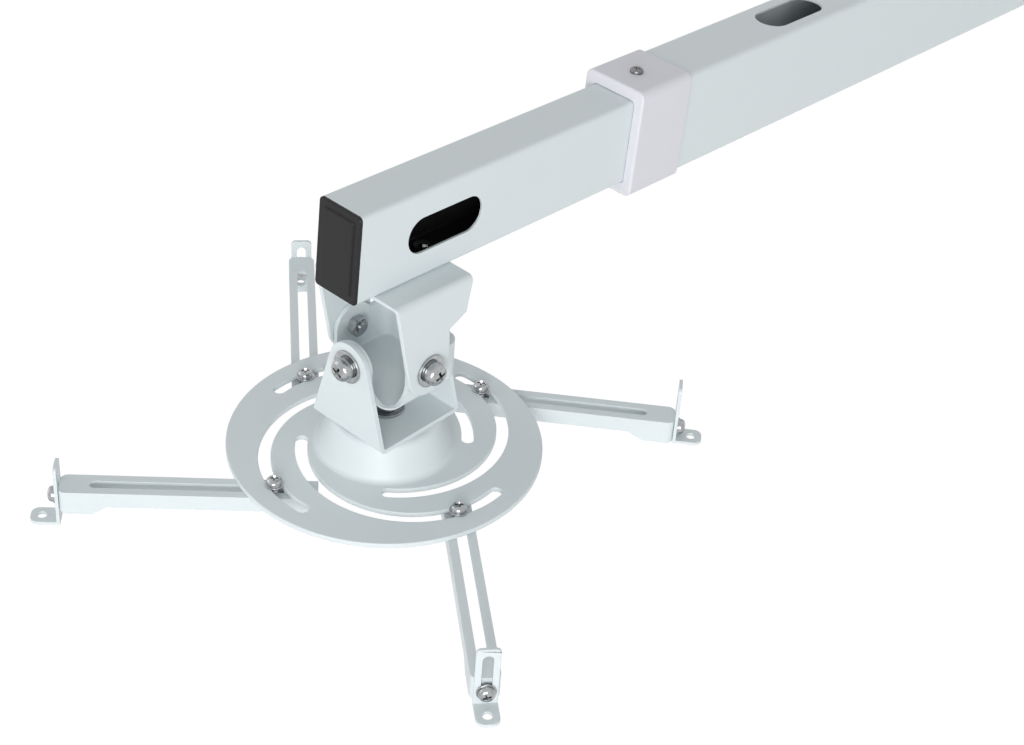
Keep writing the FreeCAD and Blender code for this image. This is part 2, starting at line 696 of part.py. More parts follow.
def draw_channel(sketch, half_width, base, tip, sheet_thick, bend):
    """Channel section: a base with two legs, folded with round bends.
    base and tip are the heights of the outer face of the base and of the legs' ends."""
    up = 1 if tip.value > base.value else -1
    outer_bend = bend + sheet_thick
    inner = half_width - sheet_thick
    floor = base + sheet_thick * up
    bend_height = base + outer_bend * up
    flat = half_width - outer_bend
    start = sketch.GeometryCount
    b, f, h, t = base.value, floor.value, bend_height.value, tip.value
    o, i, w = half_width.value, inner.value, flat.value
    lines = [
        ((-w, b), (w, b)), ((o, h), (o, t)), ((o, t), (i, t)), ((i, t), (i, h)),
        ((w, f), (-w, f)), ((-i, h), (-i, t)), ((-i, t), (-o, t)), ((-o, t), (-o, h)),
    ]
    for first, second in lines:
        sketch.addGeometry(Part.LineSegment(point(*first), point(*second)))
    quarter = math.pi / 2
    bends = [(w, outer_bend), (w, as_size(bend)), (-w, as_size(bend)), (-w, outer_bend)]
    for x, radius in bends:
        low = -quarter if x > 0 else -2 * quarter
        if up < 0:
            low = 0 if x > 0 else quarter
        sketch.addGeometry(arc(point(x, h), radius.value, low, low + quarter))

    def touch(line, line_end, bend_index, towards_base):
        on_right = bends[bend_index][0] > 0
        arc_end = 1 if towards_base == (on_right == (up > 0)) else 2
        sketch.addConstraint(Sketcher.Constraint("Tangent", start + line, line_end, start + 8 + bend_index, arc_end))

    touch(0, 2, 0, True)
    touch(1, 1, 0, False)
    touch(3, 2, 1, False)
    touch(4, 1, 1, True)
    touch(4, 2, 2, True)
    touch(5, 1, 2, False)
    touch(7, 2, 3, False)
    touch(0, 1, 3, True)
    for line in (1, 2, 5, 6):
        sketch.addConstraint(Sketcher.Constraint("Coincident", start + line, 2, start + line + 1, 1))
    pin(sketch, start + 1, 2, half_width, tip)
    pin(sketch, start + 2, 2, inner, tip)
    pin(sketch, start + 6, 1, -inner, tip)
    pin(sketch, start + 6, 2, -half_width, tip)
    constrain(sketch, "DistanceY", start, 1, base)
    constrain(sketch, "DistanceY", start + 4, 1, floor)
    for bend_index, (x, radius) in enumerate(bends):
        pin(sketch, start + 8 + bend_index, 3, flat if x > 0 else -flat, bend_height)


def make_block(label, plane, draw, length):
    body = new_body(label)
    sketch = new_sketch(body, plane)
    draw(sketch)
    pad(body, sketch, length, symmetric=True)
    return body


# Hanger bracket: an inverted channel with tapered ears, bolted under the inner tube

pivot_place = shift(0, -pivot_out, -pivot_down)
hanger_half = dim.hanger_width / 2
ear_tip = -dim.hanger_round - dim.hanger_sheet

channel = make_block(
    "hanger_channel", "XZ_Plane",
    lambda s: draw_channel(s, hanger_half, dim.pivot_drop, ear_tip, dim.hanger_sheet, dim.hanger_bend),
    dim.hanger_front * 2 + dim.hanger_rear * 2,
)
sketch = new_sketch(channel, "XY_Plane", dim.pivot_drop)
for side in (-1, 1):
    draw_circle(sketch, as_size(0), dim.hanger_pitch * (side / 2), clear_hole(dim.pivot_dia))
pocket(channel, sketch, dim.hanger_sheet * 2)


def draw_hanger_ear(sketch):
    draw_ear(sketch, [
        (dim.waist_back, dim.waist_rise),
        (dim.shoulder_back, dim.shoulder_rise),
        (dim.hanger_rear, dim.pivot_drop),
        (-dim.hanger_front, dim.pivot_drop),
    ], dim.hanger_round)
    draw_circle(sketch, as_size(0), as_size(0), clear_hole(dim.pivot_dia))


ears = make_block("hanger_ears", "YZ_Plane", draw_hanger_ear, dim.hanger_width * 2)
hanger = tool("MultiCommon", "hanger_bracket", [channel, ears])
hanger.Placement = pivot_place
keep(hanger)


# Hanger bolts come up through the bracket's web, with their nuts on the tube's floor

web_under = dim.inner_height / 2 + dim.hanger_sheet
tube_floor = dim.inner_height / 2 - dim.inner_wall
hanger_bolt_length = dim.hanger_sheet + dim.inner_wall + dim.pivot_nut_thick + dim.thread_tail
upside_down = turn_about((1, 0, 0), 180)
hanger_bolts = []
hanger_nuts = []
for number, bolt_out in enumerate(hanger_bolt_outs, start=1):
    hanger_bolts.append(make_screw(
        f"hanger_bolt_{number}", dim.pivot_dia, hanger_bolt_length,
        dim.pivot_head_dia, dim.pivot_head_height,
        shift(0, -bolt_out, -web_under) * upside_down,
    ))
    hanger_nuts.append(make_nut(
        f"hanger_nut_{number}", dim.pivot_nut_across, dim.pivot_dia, dim.pivot_nut_thick,
        shift(0, -bolt_out, -tube_floor),
    ))
keep(tool("Compound", "hanger_bolts", hanger_bolts))
keep(tool("Compound", "hanger_nuts", hanger_nuts))


# The head below is modelled about the pivot centre and hangs there at its set tilt

head_place = pivot_place * turn_about((1, 0, 0), dim.tilt_set.value)


# Knuckle: a drawn cup with round corners, trimmed to a round flange for each pivot. A sweep
# takes each flange down to a low rim at the front corners, and the rear wall stays whole.

knuckle_half_x = hanger_half - dim.hanger_sheet - dim.pivot_gap
knuckle_half_y = dim.yoke_span / 2 - dim.yoke_sheet - dim.pivot_gap
knuckle_under = -dim.knuckle_drop
knuckle_floor = knuckle_under + dim.knuckle_sheet
knuckle_high = dim.knuckle_round + dim.knuckle_sheet

cup = new_body("knuckle_cup")
sketch = new_sketch(cup, "XY_Plane", knuckle_under)
draw_rounded_rectangle(sketch, knuckle_half_x * 2, knuckle_half_y * 2, dim.knuckle_corner)
pad(cup, sketch, knuckle_high - knuckle_under)
dress("Fillet", cup, dim.knuckle_bend + dim.knuckle_sheet,
      lambda edge: edge.BoundBox.ZMax < knuckle_under.value + 1e-4)
sketch = new_sketch(cup, "XY_Plane", knuckle_floor)
hollow_x = knuckle_half_x - dim.knuckle_sheet
hollow_y = knuckle_half_y - dim.knuckle_sheet
draw_rounded_rectangle(sketch, hollow_x * 2, hollow_y * 2, dim.knuckle_corner - dim.knuckle_sheet)
pocket(cup, sketch, knuckle_high - knuckle_under, backwards=True)
dress("Fillet", cup, dim.knuckle_bend,
      lambda edge: abs(edge.BoundBox.ZMax - knuckle_floor.value) < 1e-4 and edge.BoundBox.ZLength < 1e-4)
for plane, half_span in (("YZ_Plane", knuckle_half_x), ("XZ_Plane", knuckle_half_y)):
    sketch = new_sketch(cup, plane)
    draw_circle(sketch, as_size(0), as_size(0), clear_hole(dim.pivot_dia))
    pocket(cup, sketch, half_span * 4, symmetric=True)


def draw_flange(sketch):
    """Round end above the pivot and straight sides, swept out to the low rim."""
    sweep = dim.knuckle_sweep
    toe = dim.knuckle_round + sweep
    rim = knuckle_under + dim.knuckle_rim
    under = knuckle_under - dim.knuckle_sheet
    r, f, t, z, u = dim.knuckle_round.value, sweep.value, toe.value, rim.value, under.value
    quarter = math.pi / 2
    first = sketch.GeometryCount
    sketch.addGeometry(Part.LineSegment(point(-t, u), point(t, u)))
    sketch.addGeometry(Part.LineSegment(point(t, u), point(t, z)))
    sketch.addGeometry(arc(point(t, z + f), f, 2 * quarter, 3 * quarter))
    sketch.addGeometry(Part.LineSegment(point(r, z + f), point(r, 0)))
    sketch.addGeometry(arc(point(0, 0), r, 0, 2 * quarter))
    sketch.addGeometry(Part.LineSegment(point(-r, 0), point(-r, z + f)))
    sketch.addGeometry(arc(point(-t, z + f), f, 3 * quarter, 4 * quarter))
    sketch.addGeometry(Part.LineSegment(point(-t, z), point(-t, u)))
    right_sweep, left_sweep = first + 2, first + 6
    sketch.addConstraint(Sketcher.Constraint("Coincident", first, 2, first + 1, 1))
    sketch.addConstraint(Sketcher.Constraint("Coincident", first + 1, 2, right_sweep, 2))
    sketch.addConstraint(Sketcher.Constraint("Tangent", right_sweep, 1, first + 3, 1))
    sketch.addConstraint(Sketcher.Constraint("Tangent", first + 3, 2, first + 4, 1))
    sketch.addConstraint(Sketcher.Constraint("Tangent", first + 4, 2, first + 5, 1))
    sketch.addConstraint(Sketcher.Constraint("Tangent", first + 5, 2, left_sweep, 2))
    sketch.addConstraint(Sketcher.Constraint("Coincident", left_sweep, 1, first + 7, 1))
    sketch.addConstraint(Sketcher.Constraint("Coincident", first + 7, 2, first, 1))
    pin(sketch, first, 1, -toe, under)
    pin(sketch, first, 2, toe, under)
    pin(sketch, first + 1, 2, toe, rim)
    pin(sketch, first + 7, 1, -toe, rim)
    pin(sketch, right_sweep, 3, toe, rim + sweep)
    pin(sketch, left_sweep, 3, -toe, rim + sweep)
    sketch.addConstraint(Sketcher.Constraint("Coincident", first + 4, 3, -1, 1))


def draw_rear_wall(sketch):
    """The low rim all round, and the rear wall with the rear corners above it."""
    low = knuckle_under - dim.knuckle_sheet
    rim = knuckle_under + dim.knuckle_rim
    end = knuckle_half_y + dim.knuckle_sheet
    draw_polygon(sketch, [
        (-end, low),
        (end, low),
        (end, dim.knuckle_rear_rise),
        (dim.knuckle_rear, dim.knuckle_rear_rise),
        (dim.knuckle_rear, rim),
        (-end, rim),
    ])


trim = tool("MultiFuse", "knuckle_trim", [
    make_block("knuckle_tilt_flanges", "YZ_Plane", draw_flange, knuckle_half_x * 4),
    make_block("knuckle_roll_flanges", "XZ_Plane", draw_flange, knuckle_half_y * 4),
    make_block("knuckle_rear_wall", "YZ_Plane", draw_rear_wall, knuckle_half_x * 4),
])
knuckle = tool("MultiCommon", "knuckle", [cup, trim])
knuckle.Placement = head_place
keep(knuckle)


# Pivot bolts: tilt bolts through the hanger's ears, roll bolts through the yoke's ears

def make_pivot_set(name, quarter_turns, ear_face, flange_face):
    """A screw, washer and nut at each end of one pivot axis."""
    screws, washers, nuts = [], [], []
    length = ear_face - flange_face + dim.pivot_washer_thick + dim.pivot_nut_thick + dim.thread_tail
    for number, quarters in enumerate(quarter_turns, start=1):
        outward = head_place * turn_about((0, 0, 1), 90 * quarters) * turn_about((0, 1, 0), 90)
        screws.append(make_screw(
            f"{name}_bolt_{number}", dim.pivot_dia, length, dim.pivot_head_dia, dim.pivot_head_height,
            outward * shift(z=ear_face + dim.pivot_washer_thick),
        ))
        washers.append(make_washer(
            f"{name}_washer_{number}", dim.pivot_washer_dia, dim.pivot_dia, dim.pivot_washer_thick,
            outward * shift(z=ear_face),
        ))
        nuts.append(make_nut(
            f"{name}_nut_{number}", dim.pivot_nut_across, dim.pivot_dia, dim.pivot_nut_thick,
            outward * shift(z=flange_face - dim.pivot_nut_thick),
        ))
    keep(tool("Compound", f"{name}_bolts", screws))
    keep(tool("Compound", f"{name}_washers", washers))
    keep(tool("Compound", f"{name}_nuts", nuts))


make_pivot_set("tilt", (0, 2), hanger_half, knuckle_half_x - dim.knuckle_sheet)
make_pivot_set("roll", (1, 3), dim.yoke_span / 2, knuckle_half_y - dim.knuckle_sheet)


# Yoke: a channel standing on the spider plate, with tapered ears for the roll pivot

yoke_half = dim.yoke_span / 2
yoke_channel = make_block(
    "yoke_channel", "YZ_Plane",
    lambda s: draw_channel(s, yoke_half, -dim.yoke_drop, dim.yoke_round + dim.yoke_sheet,
                           dim.yoke_sheet, dim.yoke_bend),
    dim.yoke_base_width * 2,
)
sketch = new_sketch(yoke_channel, "XY_Plane", -dim.yoke_drop)
draw_circle(sketch, as_size(0), as_size(0), clear_hole(dim.swivel_dia))
pocket(yoke_channel, sketch, dim.yoke_sheet * 2, backwards=True)


def draw_yoke_ear(sketch):
    base_half = dim.yoke_base_width / 2
    draw_ear(sketch, [
        (-base_half, dim.yoke_sheet - dim.yoke_drop),
        (-base_half, -dim.yoke_drop),
        (base_half, -dim.yoke_drop),
        (base_half, dim.yoke_sheet - dim.yoke_drop),
    ], dim.yoke_round)
    draw_circle(sketch, as_size(0), as_size(0), clear_hole(dim.pivot_dia))


yoke_ears = make_block("yoke_ears", "XZ_Plane", draw_yoke_ear, dim.yoke_span * 2)
yoke = tool("MultiCommon", "yoke", [yoke_channel, yoke_ears])
yoke.Placement = head_place
keep(yoke)


# Spider plate: a round plate with a pressed boss and four arc slots

plate_under = dim.spider_drop + dim.spider_sheet
boss_under = dim.yoke_drop + dim.spider_sheet
base_radius = dim.boss_base_dia / 2
top_radius = dim.boss_top_dia / 2
rim_radius = dim.spider_dia / 2

spider = new_body("spider_plate")
sketch = new_sketch(spider, "XZ_Plane")
draw_polygon(sketch, [
    (clear_hole(dim.swivel_dia), -boss_under),
    (top_radius - dim.spider_sheet, -boss_under),
    (base_radius - dim.spider_sheet, -plate_under),
    (rim_radius, -plate_under),
    (rim_radius, -dim.spider_drop),
    (base_radius, -dim.spider_drop),
    (top_radius, -dim.yoke_drop),
    (clear_hole(dim.swivel_dia), -dim.yoke_drop),
])
revolve(spider, sketch)


def boss_edge(edge):
    if not isinstance(edge.Curve, Part.Circle):
        return False
    radius = edge.Curve.Radius
    return clear_hole(dim.swivel_dia).value + 1 < radius < base_radius.value + 1


dress("Fillet", spider, dim.boss_fillet, boss_edge)
sketch = new_sketch(spider, "XY_Plane", -dim.spider_drop)
arc_centre = (
    dim.slot_offset * cosine(dim.slot_offset_turn),
    dim.slot_offset * sine(dim.slot_offset_turn),
)
draw_arc_slot(sketch, arc_centre, dim.slot_radius, dim.slot_width, dim.slot_start, dim.slot_sweep)
slot_cut = pocket(spider, sketch, dim.spider_sheet * 2)
slots = spider.newObject("PartDesign::PolarPattern", "spider_slots")
slots.Originals = [slot_cut]
slots.Axis = (sketch, ["N_Axis"])
slots.Angle = 360
slots.Occurrences = len(ARM_NAMES)
spider.Tip = slots
doc.recompute()
spider.Placement = head_place
keep(spider)


# Swivel bolt through the boss and the yoke, with its nut on the yoke's base

swivel_top = dim.yoke_drop - dim.yoke_sheet
swivel_length = (
    dim.spider_sheet + dim.yoke_sheet + dim.swivel_washer_thick + dim.swivel_nut_thick + dim.thread_tail
)
keep(make_screw(
    "swivel_bolt", dim.swivel_dia, swivel_length, dim.swivel_head_dia, dim.swivel_head_height,
    head_place * shift(z=-boss_under) * upside_down,
))
keep(make_washer(
    "swivel_washer", dim.swivel_washer_dia, dim.swivel_dia, dim.swivel_washer_thick,
    head_place * shift(z=-swivel_top),
))
keep(make_nut(
    "swivel_nut", dim.swivel_nut_across, dim.swivel_dia, dim.swivel_nut_thick,
    head_place * shift(z=dim.swivel_washer_thick - swivel_top),
))


# Arms: pressed channels with a long slot, deeper at the outer end where the foot is screwed on.
# Each is modelled along +X from its bolt, with its top face at z = 0.

def make_arm(name, out, place):
    body = new_body(f"arm_{name}")
    half = dim.arm_width / 2
    inner_end = out - dim.arm_length
    corner = dim.arm_corner
    sketch = new_sketch(body, "XY_Plane")
    draw_tongue(sketch, inner_end, out, half, corner)
    pad(body, sketch, dim.arm_end_depth, backwards=True)
    sketch = new_sketch(body, "XY_Plane", -dim.arm_sheet)
    draw_tongue(sketch, inner_end - 1, out - dim.arm_sheet, half - dim.arm_sheet, dim.arm_inner_corner)
    pocket(body, sketch, dim.arm_end_depth)
    sketch = new_sketch(body, "XZ_Plane")
    lobe = out - dim.arm_lobe
    draw_polygon(sketch, [
        (inner_end - 1, -dim.arm_end_depth - 1),
        (lobe, -dim.arm_end_depth - 1),
        (lobe, -dim.arm_end_depth),
        (lobe - dim.arm_lobe_ramp, -dim.arm_depth),
        (inner_end - 1, -dim.arm_depth),
    ])
    pocket(body, sketch, dim.arm_width * 2, symmetric=True)
    sketch = new_sketch(body, "XY_Plane")
    slot_tip = out - dim.arm_slot_margin - dim.arm_slot_width / 2
    slot_tail = slot_tip - dim.arm_slot_length + dim.arm_slot_width
    draw_obround(sketch, (slot_tail, as_size(0)), (slot_tip, as_size(0)), dim.arm_slot_width / 2)
    pocket(body, sketch, dim.arm_sheet * 2)
    sketch = new_sketch(body, "YZ_Plane", out)
    draw_circle(sketch, as_size(0), -dim.foot_screw_drop, clear_hole(dim.small_dia))
    pocket(body, sketch, dim.arm_sheet * 2)
    body.Placement = place
    return body


def draw_tongue(sketch, start, end, half, corner):
    """A strip with a square inner end and rounded outer corners."""
    x, w, r = end.value, half.value, corner.value
    first = sketch.GeometryCount
    sketch.addGeometry(Part.LineSegment(point(start, -half), point(x - r, -w)))
    sketch.addGeometry(arc(point(x - r, r - w), r, -math.pi / 2, 0))
    sketch.addGeometry(Part.LineSegment(point(x, r - w), point(x, w - r)))
    sketch.addGeometry(arc(point(x - r, w - r), r, 0, math.pi / 2))
    sketch.addGeometry(Part.LineSegment(point(x - r, w), point(start, half)))
    sketch.addGeometry(Part.LineSegment(point(start, half), point(start, -half)))
    for edge in range(4):
        sketch.addConstraint(Sketcher.Constraint("Tangent", first + edge, 2, first + edge + 1, 1))
    sketch.addConstraint(Sketcher.Constraint("Coincident", first + 4, 2, first + 5, 1))
    sketch.addConstraint(Sketcher.Constraint("Coincident", first + 5, 2, first, 1))
    pin(sketch, first, 1, start, -half)
    pin(sketch, first + 4, 2, start, half)
    pin(sketch, first + 1, 3, end - corner, corner - half)
    pin(sketch, first + 3, 3, end - corner, half - corner)


# Feet: slotted legs against the arms' ends, with a tab that takes the projector's screw

def make_foot(name, out, drop, place):
    body = new_body(f"foot_{name}")
    half = dim.foot_width / 2
    under = -drop
    top = under + dim.foot_leg
    sketch = new_sketch(body, "YZ_Plane", out)
    draw_plate(sketch, half, under, top, dim.foot_corner)
    slot_round = dim.foot_slot_width / 2
    slot_low = under + dim.foot_slot_low + slot_round
    slot_high = top - dim.foot_slot_high - slot_round
    draw_obround(sketch, (as_size(0), slot_low), (as_size(0), slot_high), slot_round)
    pad(body, sketch, dim.foot_sheet)
    sketch = new_sketch(body, "XY_Plane", under)
    draw_tongue(sketch, out, out + dim.foot_tab, half, dim.foot_tab_corner)
    draw_circle(sketch, out + dim.foot_eye_out, as_size(0), dim.foot_eye_dia / 2)
    pad(body, sketch, dim.foot_sheet)
    body.Placement = place
    return body


def draw_plate(sketch, half, low, high, corner):
    """An upright strip with a square foot and rounded top corners."""
    w, h, r = half.value, high.value, corner.value
    first = sketch.GeometryCount
    sketch.addGeometry(Part.LineSegment(point(-half, low), point(half, low)))
    sketch.addGeometry(Part.LineSegment(point(half, low), point(w, h - r)))
    sketch.addGeometry(arc(point(w - r, h - r), r, 0, math.pi / 2))
    sketch.addGeometry(Part.LineSegment(point(w - r, h), point(r - w, h)))
    sketch.addGeometry(arc(point(r - w, h - r), r, math.pi / 2, math.pi))
    sketch.addGeometry(Part.LineSegment(point(-w, h - r), point(-half, low)))
    sketch.addConstraint(Sketcher.Constraint("Coincident", first, 2, first + 1, 1))
    for edge in range(1, 5):
        sketch.addConstraint(Sketcher.Constraint("Tangent", first + edge, 2, first + edge + 1, 1))
    sketch.addConstraint(Sketcher.Constraint("Coincident", first + 5, 2, first, 1))
    pin(sketch, first, 1, -half, low)
    pin(sketch, first, 2, half, low)
    pin(sketch, first + 2, 3, half - corner, high - corner)
    pin(sketch, first + 4, 3, corner - half, high - corner)


arm_top = plate_under + dim.arm_gap
arm_bolt_length = (
    dim.small_washer_thick * 2 + dim.spider_sheet + dim.arm_gap + dim.arm_sheet
    + dim.small_nut_thick + dim.thread_tail
)
foot_screw_length = (
    dim.small_washer_thick + dim.foot_sheet + dim.arm_sheet + dim.small_nut_thick + dim.thread_tail
)

for quarter, name in enumerate(ARM_NAMES):
    heading = getattr(dim, name + "_heading")
    out = getattr(dim, name + "_out")
    drop = getattr(dim, name + "_drop")
    bolt_angle = getattr(dim, name + "_turn")
    bolt_x = arc_centre[0] + dim.slot_radius * cosine(bolt_angle)
    bolt_y = arc_centre[1] + dim.slot_radius * sine(bolt_angle)
    bolt_place = head_place * turn_about((0, 0, 1), 90 * quarter) * shift(bolt_x, bolt_y)
    arm_place = bolt_place * turn_about((0, 0, 1), heading.value - 90 * quarter) * shift(z=-arm_top)
    keep(make_arm(name, out, arm_place))
    keep(make_foot(name, out, drop, arm_place))

    # bolt down through the plate's slot and the arm's slot
    keep(make_screw(
        f"arm_bolt_{name}", dim.small_dia, arm_bolt_length, dim.small_head_dia, dim.small_head_height,
        bolt_place * shift(z=dim.small_washer_thick - dim.spider_drop),
    ))
    upper = make_washer(
        f"upper_washer_{name}", dim.small_washer_dia, dim.small_dia, dim.small_washer_thick,
        bolt_place * shift(z=-dim.spider_drop),
    )
    lower = make_washer(
        f"lower_washer_{name}", dim.small_washer_dia, dim.small_dia, dim.small_washer_thick,
        arm_place * shift(z=-dim.arm_sheet - dim.small_washer_thick),
    )
    keep(tool("Compound", f"arm_washers_{name}", [upper, lower]))
    keep(make_nut(
        f"arm_nut_{name}", dim.small_nut_across, dim.small_dia, dim.small_nut_thick,
        arm_place * shift(z=-dim.arm_sheet - dim.small_washer_thick - dim.small_nut_thick),
    ))

    # screw through the foot's slot into the nut behind the arm's end wall
    outward = arm_place * shift(out, 0, -dim.foot_screw_drop) * turn_about((0, 1, 0), 90)
    keep(make_screw(
        f"foot_screw_{name}", dim.small_dia, foot_screw_length, dim.small_head_dia, dim.small_head_height,
        outward * shift(z=dim.foot_sheet + dim.small_washer_thick),
    ))
    keep(make_washer(
        f"foot_washer_{name}", dim.small_washer_dia, dim.small_dia, dim.small_washer_thick,
        outward * shift(z=dim.foot_sheet),
    ))
    keep(make_nut(
        f"foot_nut_{name}", dim.small_nut_across, dim.small_dia, dim.small_nut_thick,
        outward * turn_about((0, 0, 1), 30) * shift(z=-dim.arm_sheet - dim.small_nut_thick),
    ))


# Check the document and write one file for each sub-part

doc.recompute()
for item in doc.Objects:
    if "Invalid" in item.State or "Error" in item.State:
        raise RuntimeError(item.Label + " did not recompute")
os.makedirs("parts", exist_ok=True)
for node in nodes:
    if node.Shape.isNull() or not node.Shape.isValid():
        raise RuntimeError(node.Label + " has no valid shape")
for node in nodes:
    node.Shape.exportStep(f"parts/{node.Label}.step")
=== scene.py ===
import json
import math

import bpy
from mathutils import Matrix, Vector


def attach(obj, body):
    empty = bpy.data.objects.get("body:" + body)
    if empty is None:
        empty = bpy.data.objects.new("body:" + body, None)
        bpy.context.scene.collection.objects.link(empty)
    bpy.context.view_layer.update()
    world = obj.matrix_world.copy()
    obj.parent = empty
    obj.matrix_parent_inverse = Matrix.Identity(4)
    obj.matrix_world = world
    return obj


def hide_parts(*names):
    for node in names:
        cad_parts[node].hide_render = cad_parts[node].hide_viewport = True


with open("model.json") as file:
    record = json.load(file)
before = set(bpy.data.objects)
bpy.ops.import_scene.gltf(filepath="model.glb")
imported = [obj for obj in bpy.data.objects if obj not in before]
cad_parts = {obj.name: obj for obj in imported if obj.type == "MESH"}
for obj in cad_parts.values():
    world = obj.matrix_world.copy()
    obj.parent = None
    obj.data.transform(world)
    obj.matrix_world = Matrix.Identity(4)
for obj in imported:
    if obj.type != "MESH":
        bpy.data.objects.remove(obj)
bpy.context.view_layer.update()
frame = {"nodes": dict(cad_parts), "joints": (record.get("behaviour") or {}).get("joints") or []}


# Stage: a pale floor well under the mount, white to the camera, soft light from the camera's
# right with even light all round, and the camera where the photograph was taken from.

scene = bpy.context.scene
scene.view_settings.view_transform = "Standard"

photo_width_pixels = 1024
focal_length_pixels = 2094
sensor_width_mm = 36
camera_place = Vector((0.6147, -1.4222, 0.5281))
camera_right = Vector((0.7315, 0.6743, 0.1015))
camera_up = Vector((-0.4426, 0.3562, 0.8230))
camera_back = Vector((0.5187, -0.6469, 0.5590))
camera_data = bpy.data.cameras.new("photo_camera")
camera_data.sensor_width = sensor_width_mm
camera_data.lens = focal_length_pixels / photo_width_pixels * sensor_width_mm
camera = bpy.data.objects.new("photo_camera", camera_data)
camera_turn = Matrix((camera_right, camera_up, camera_back)).transposed().to_quaternion()
camera.matrix_world = Matrix.LocRotScale(camera_place, camera_turn, None)
scene.collection.objects.link(camera)
scene.camera = camera


def white_to_camera(tree):
    """Mask that is 1 for what the camera sees, straight or in a reflection."""
    path = tree.nodes.new("ShaderNodeLightPath")
    seen = tree.nodes.new("ShaderNodeMath")
    seen.operation = "MAXIMUM"
    tree.links.new(path.outputs["Is Camera Ray"], seen.inputs[0])
    tree.links.new(path.outputs["Is Glossy Ray"], seen.inputs[1])
    either = tree.nodes.new("ShaderNodeMath")
    either.operation = "MAXIMUM"
    tree.links.new(seen.outputs[0], either.inputs[0])
    tree.links.new(path.outputs["Is Transmission Ray"], either.inputs[1])
    return either.outputs[0]


room_tint = (0.97, 0.985, 1.0, 1)
room_level_low = 0.63
room_loss_overhead = -0.14
world = bpy.data.worlds.new("studio")
world.use_nodes = True
scene.world = world
sky = world.node_tree
sky.nodes.clear()
room_light = sky.nodes.new("ShaderNodeBackground")
room_light.inputs["Color"].default_value = room_tint
room_way = sky.nodes.new("ShaderNodeTexCoord")
room_parts = sky.nodes.new("ShaderNodeSeparateXYZ")
room_height = sky.nodes.new("ShaderNodeMath")
room_height.operation = "MAXIMUM"
room_height.inputs[1].default_value = 0.0
room_level = sky.nodes.new("ShaderNodeMath")
room_level.operation = "MULTIPLY_ADD"
room_level.inputs[1].default_value = room_loss_overhead
room_level.inputs[2].default_value = room_level_low
sky.links.new(room_way.outputs["Generated"], room_parts.inputs[0])
sky.links.new(room_parts.outputs["Z"], room_height.inputs[0])
sky.links.new(room_height.outputs[0], room_level.inputs[0])
sky.links.new(room_level.outputs[0], room_light.inputs["Strength"])
backdrop_white = sky.nodes.new("ShaderNodeBackground")
backdrop_white.inputs["Color"].default_value = (1, 1, 1, 1)
backdrop_white.inputs["Strength"].default_value = 1.0
sky_choice = sky.nodes.new("ShaderNodeMixShader")
sky_out = sky.nodes.new("ShaderNodeOutputWorld")
sky.links.new(white_to_camera(sky), sky_choice.inputs["Fac"])
sky.links.new(room_light.outputs[0], sky_choice.inputs[1])
sky.links.new(backdrop_white.outputs[0], sky_choice.inputs[2])
sky.links.new(sky_choice.outputs[0], sky_out.inputs["Surface"])

floor_half = 9.0
floor_level = -0.85
floor_grey = (0.82, 0.82, 0.82, 1)
floor_glow_level = 1.12
floor_glow_share = 0.82
floor_mesh = bpy.data.meshes.new("floor")
floor_mesh.from_pydata(
    [
        (-floor_half, -floor_half, floor_level),
        (floor_half, -floor_half, floor_level),
        (floor_half, floor_half, floor_level),
        (-floor_half, floor_half, floor_level),
    ],
    [],
    [(0, 1, 2, 3)],
)
floor = bpy.data.objects.new("floor", floor_mesh)
scene.collection.objects.link(floor)
floor_paint = bpy.data.materials.new("floor_white")
floor_paint.use_nodes = True
floor_nodes = floor_paint.node_tree
floor_nodes.nodes.clear()
floor_matt = floor_nodes.nodes.new("ShaderNodeBsdfDiffuse")
floor_matt.inputs["Color"].default_value = floor_grey
floor_glow = floor_nodes.nodes.new("ShaderNodeEmission")
floor_glow.inputs["Color"].default_value = (1, 1, 1, 1)
floor_glow.inputs["Strength"].default_value = floor_glow_level
floor_share = floor_nodes.nodes.new("ShaderNodeMath")
floor_share.operation = "MULTIPLY"
floor_share.inputs[1].default_value = floor_glow_share
floor_mix = floor_nodes.nodes.new("ShaderNodeMixShader")
floor_out = floor_nodes.nodes.new("ShaderNodeOutputMaterial")
floor_nodes.links.new(white_to_camera(floor_nodes), floor_share.inputs[0])
floor_nodes.links.new(floor_share.outputs[0], floor_mix.inputs["Fac"])
floor_nodes.links.new(floor_matt.outputs[0], floor_mix.inputs[1])
floor_nodes.links.new(floor_glow.outputs[0], floor_mix.inputs[2])
floor_nodes.links.new(floor_mix.outputs[0], floor_out.inputs["Surface"])
floor_mesh.materials.append(floor_paint)

mount_head = Vector((0, -0.72, -0.08))
for lamp_name, lamp_place, lamp_size, lamp_power in (
    ("softbox", (2.0, -3.3, 0.45), 1.8, 64),
    ("left_fill", (-2.6, -2.2, 0.7), 2.2, 11),
):
    lamp_data = bpy.data.lights.new(lamp_name, "AREA")
    lamp_data.shape = "SQUARE"
    lamp_data.size = lamp_size
    lamp_data.energy = lamp_power
    lamp = bpy.data.objects.new(lamp_name, lamp_data)
    lamp_aim = mount_head - Vector(lamp_place)
    lamp_turn = lamp_aim.to_track_quat("-Z", "Y")
    lamp.matrix_world = Matrix.LocRotScale(Vector(lamp_place), lamp_turn, None)
    scene.collection.objects.link(lamp)


# Wall plate: flat steel welded to the outer tube and screwed to the wall at its four corners,
# powder coated white after welding, like every bent or welded steel piece of the mount.

# Socket numbers of a colour Mix node, whose socket names repeat for each kind of data.
mix_first = 6
mix_second = 7
mix_result = 2
speck_to_peel_scale = 3.7


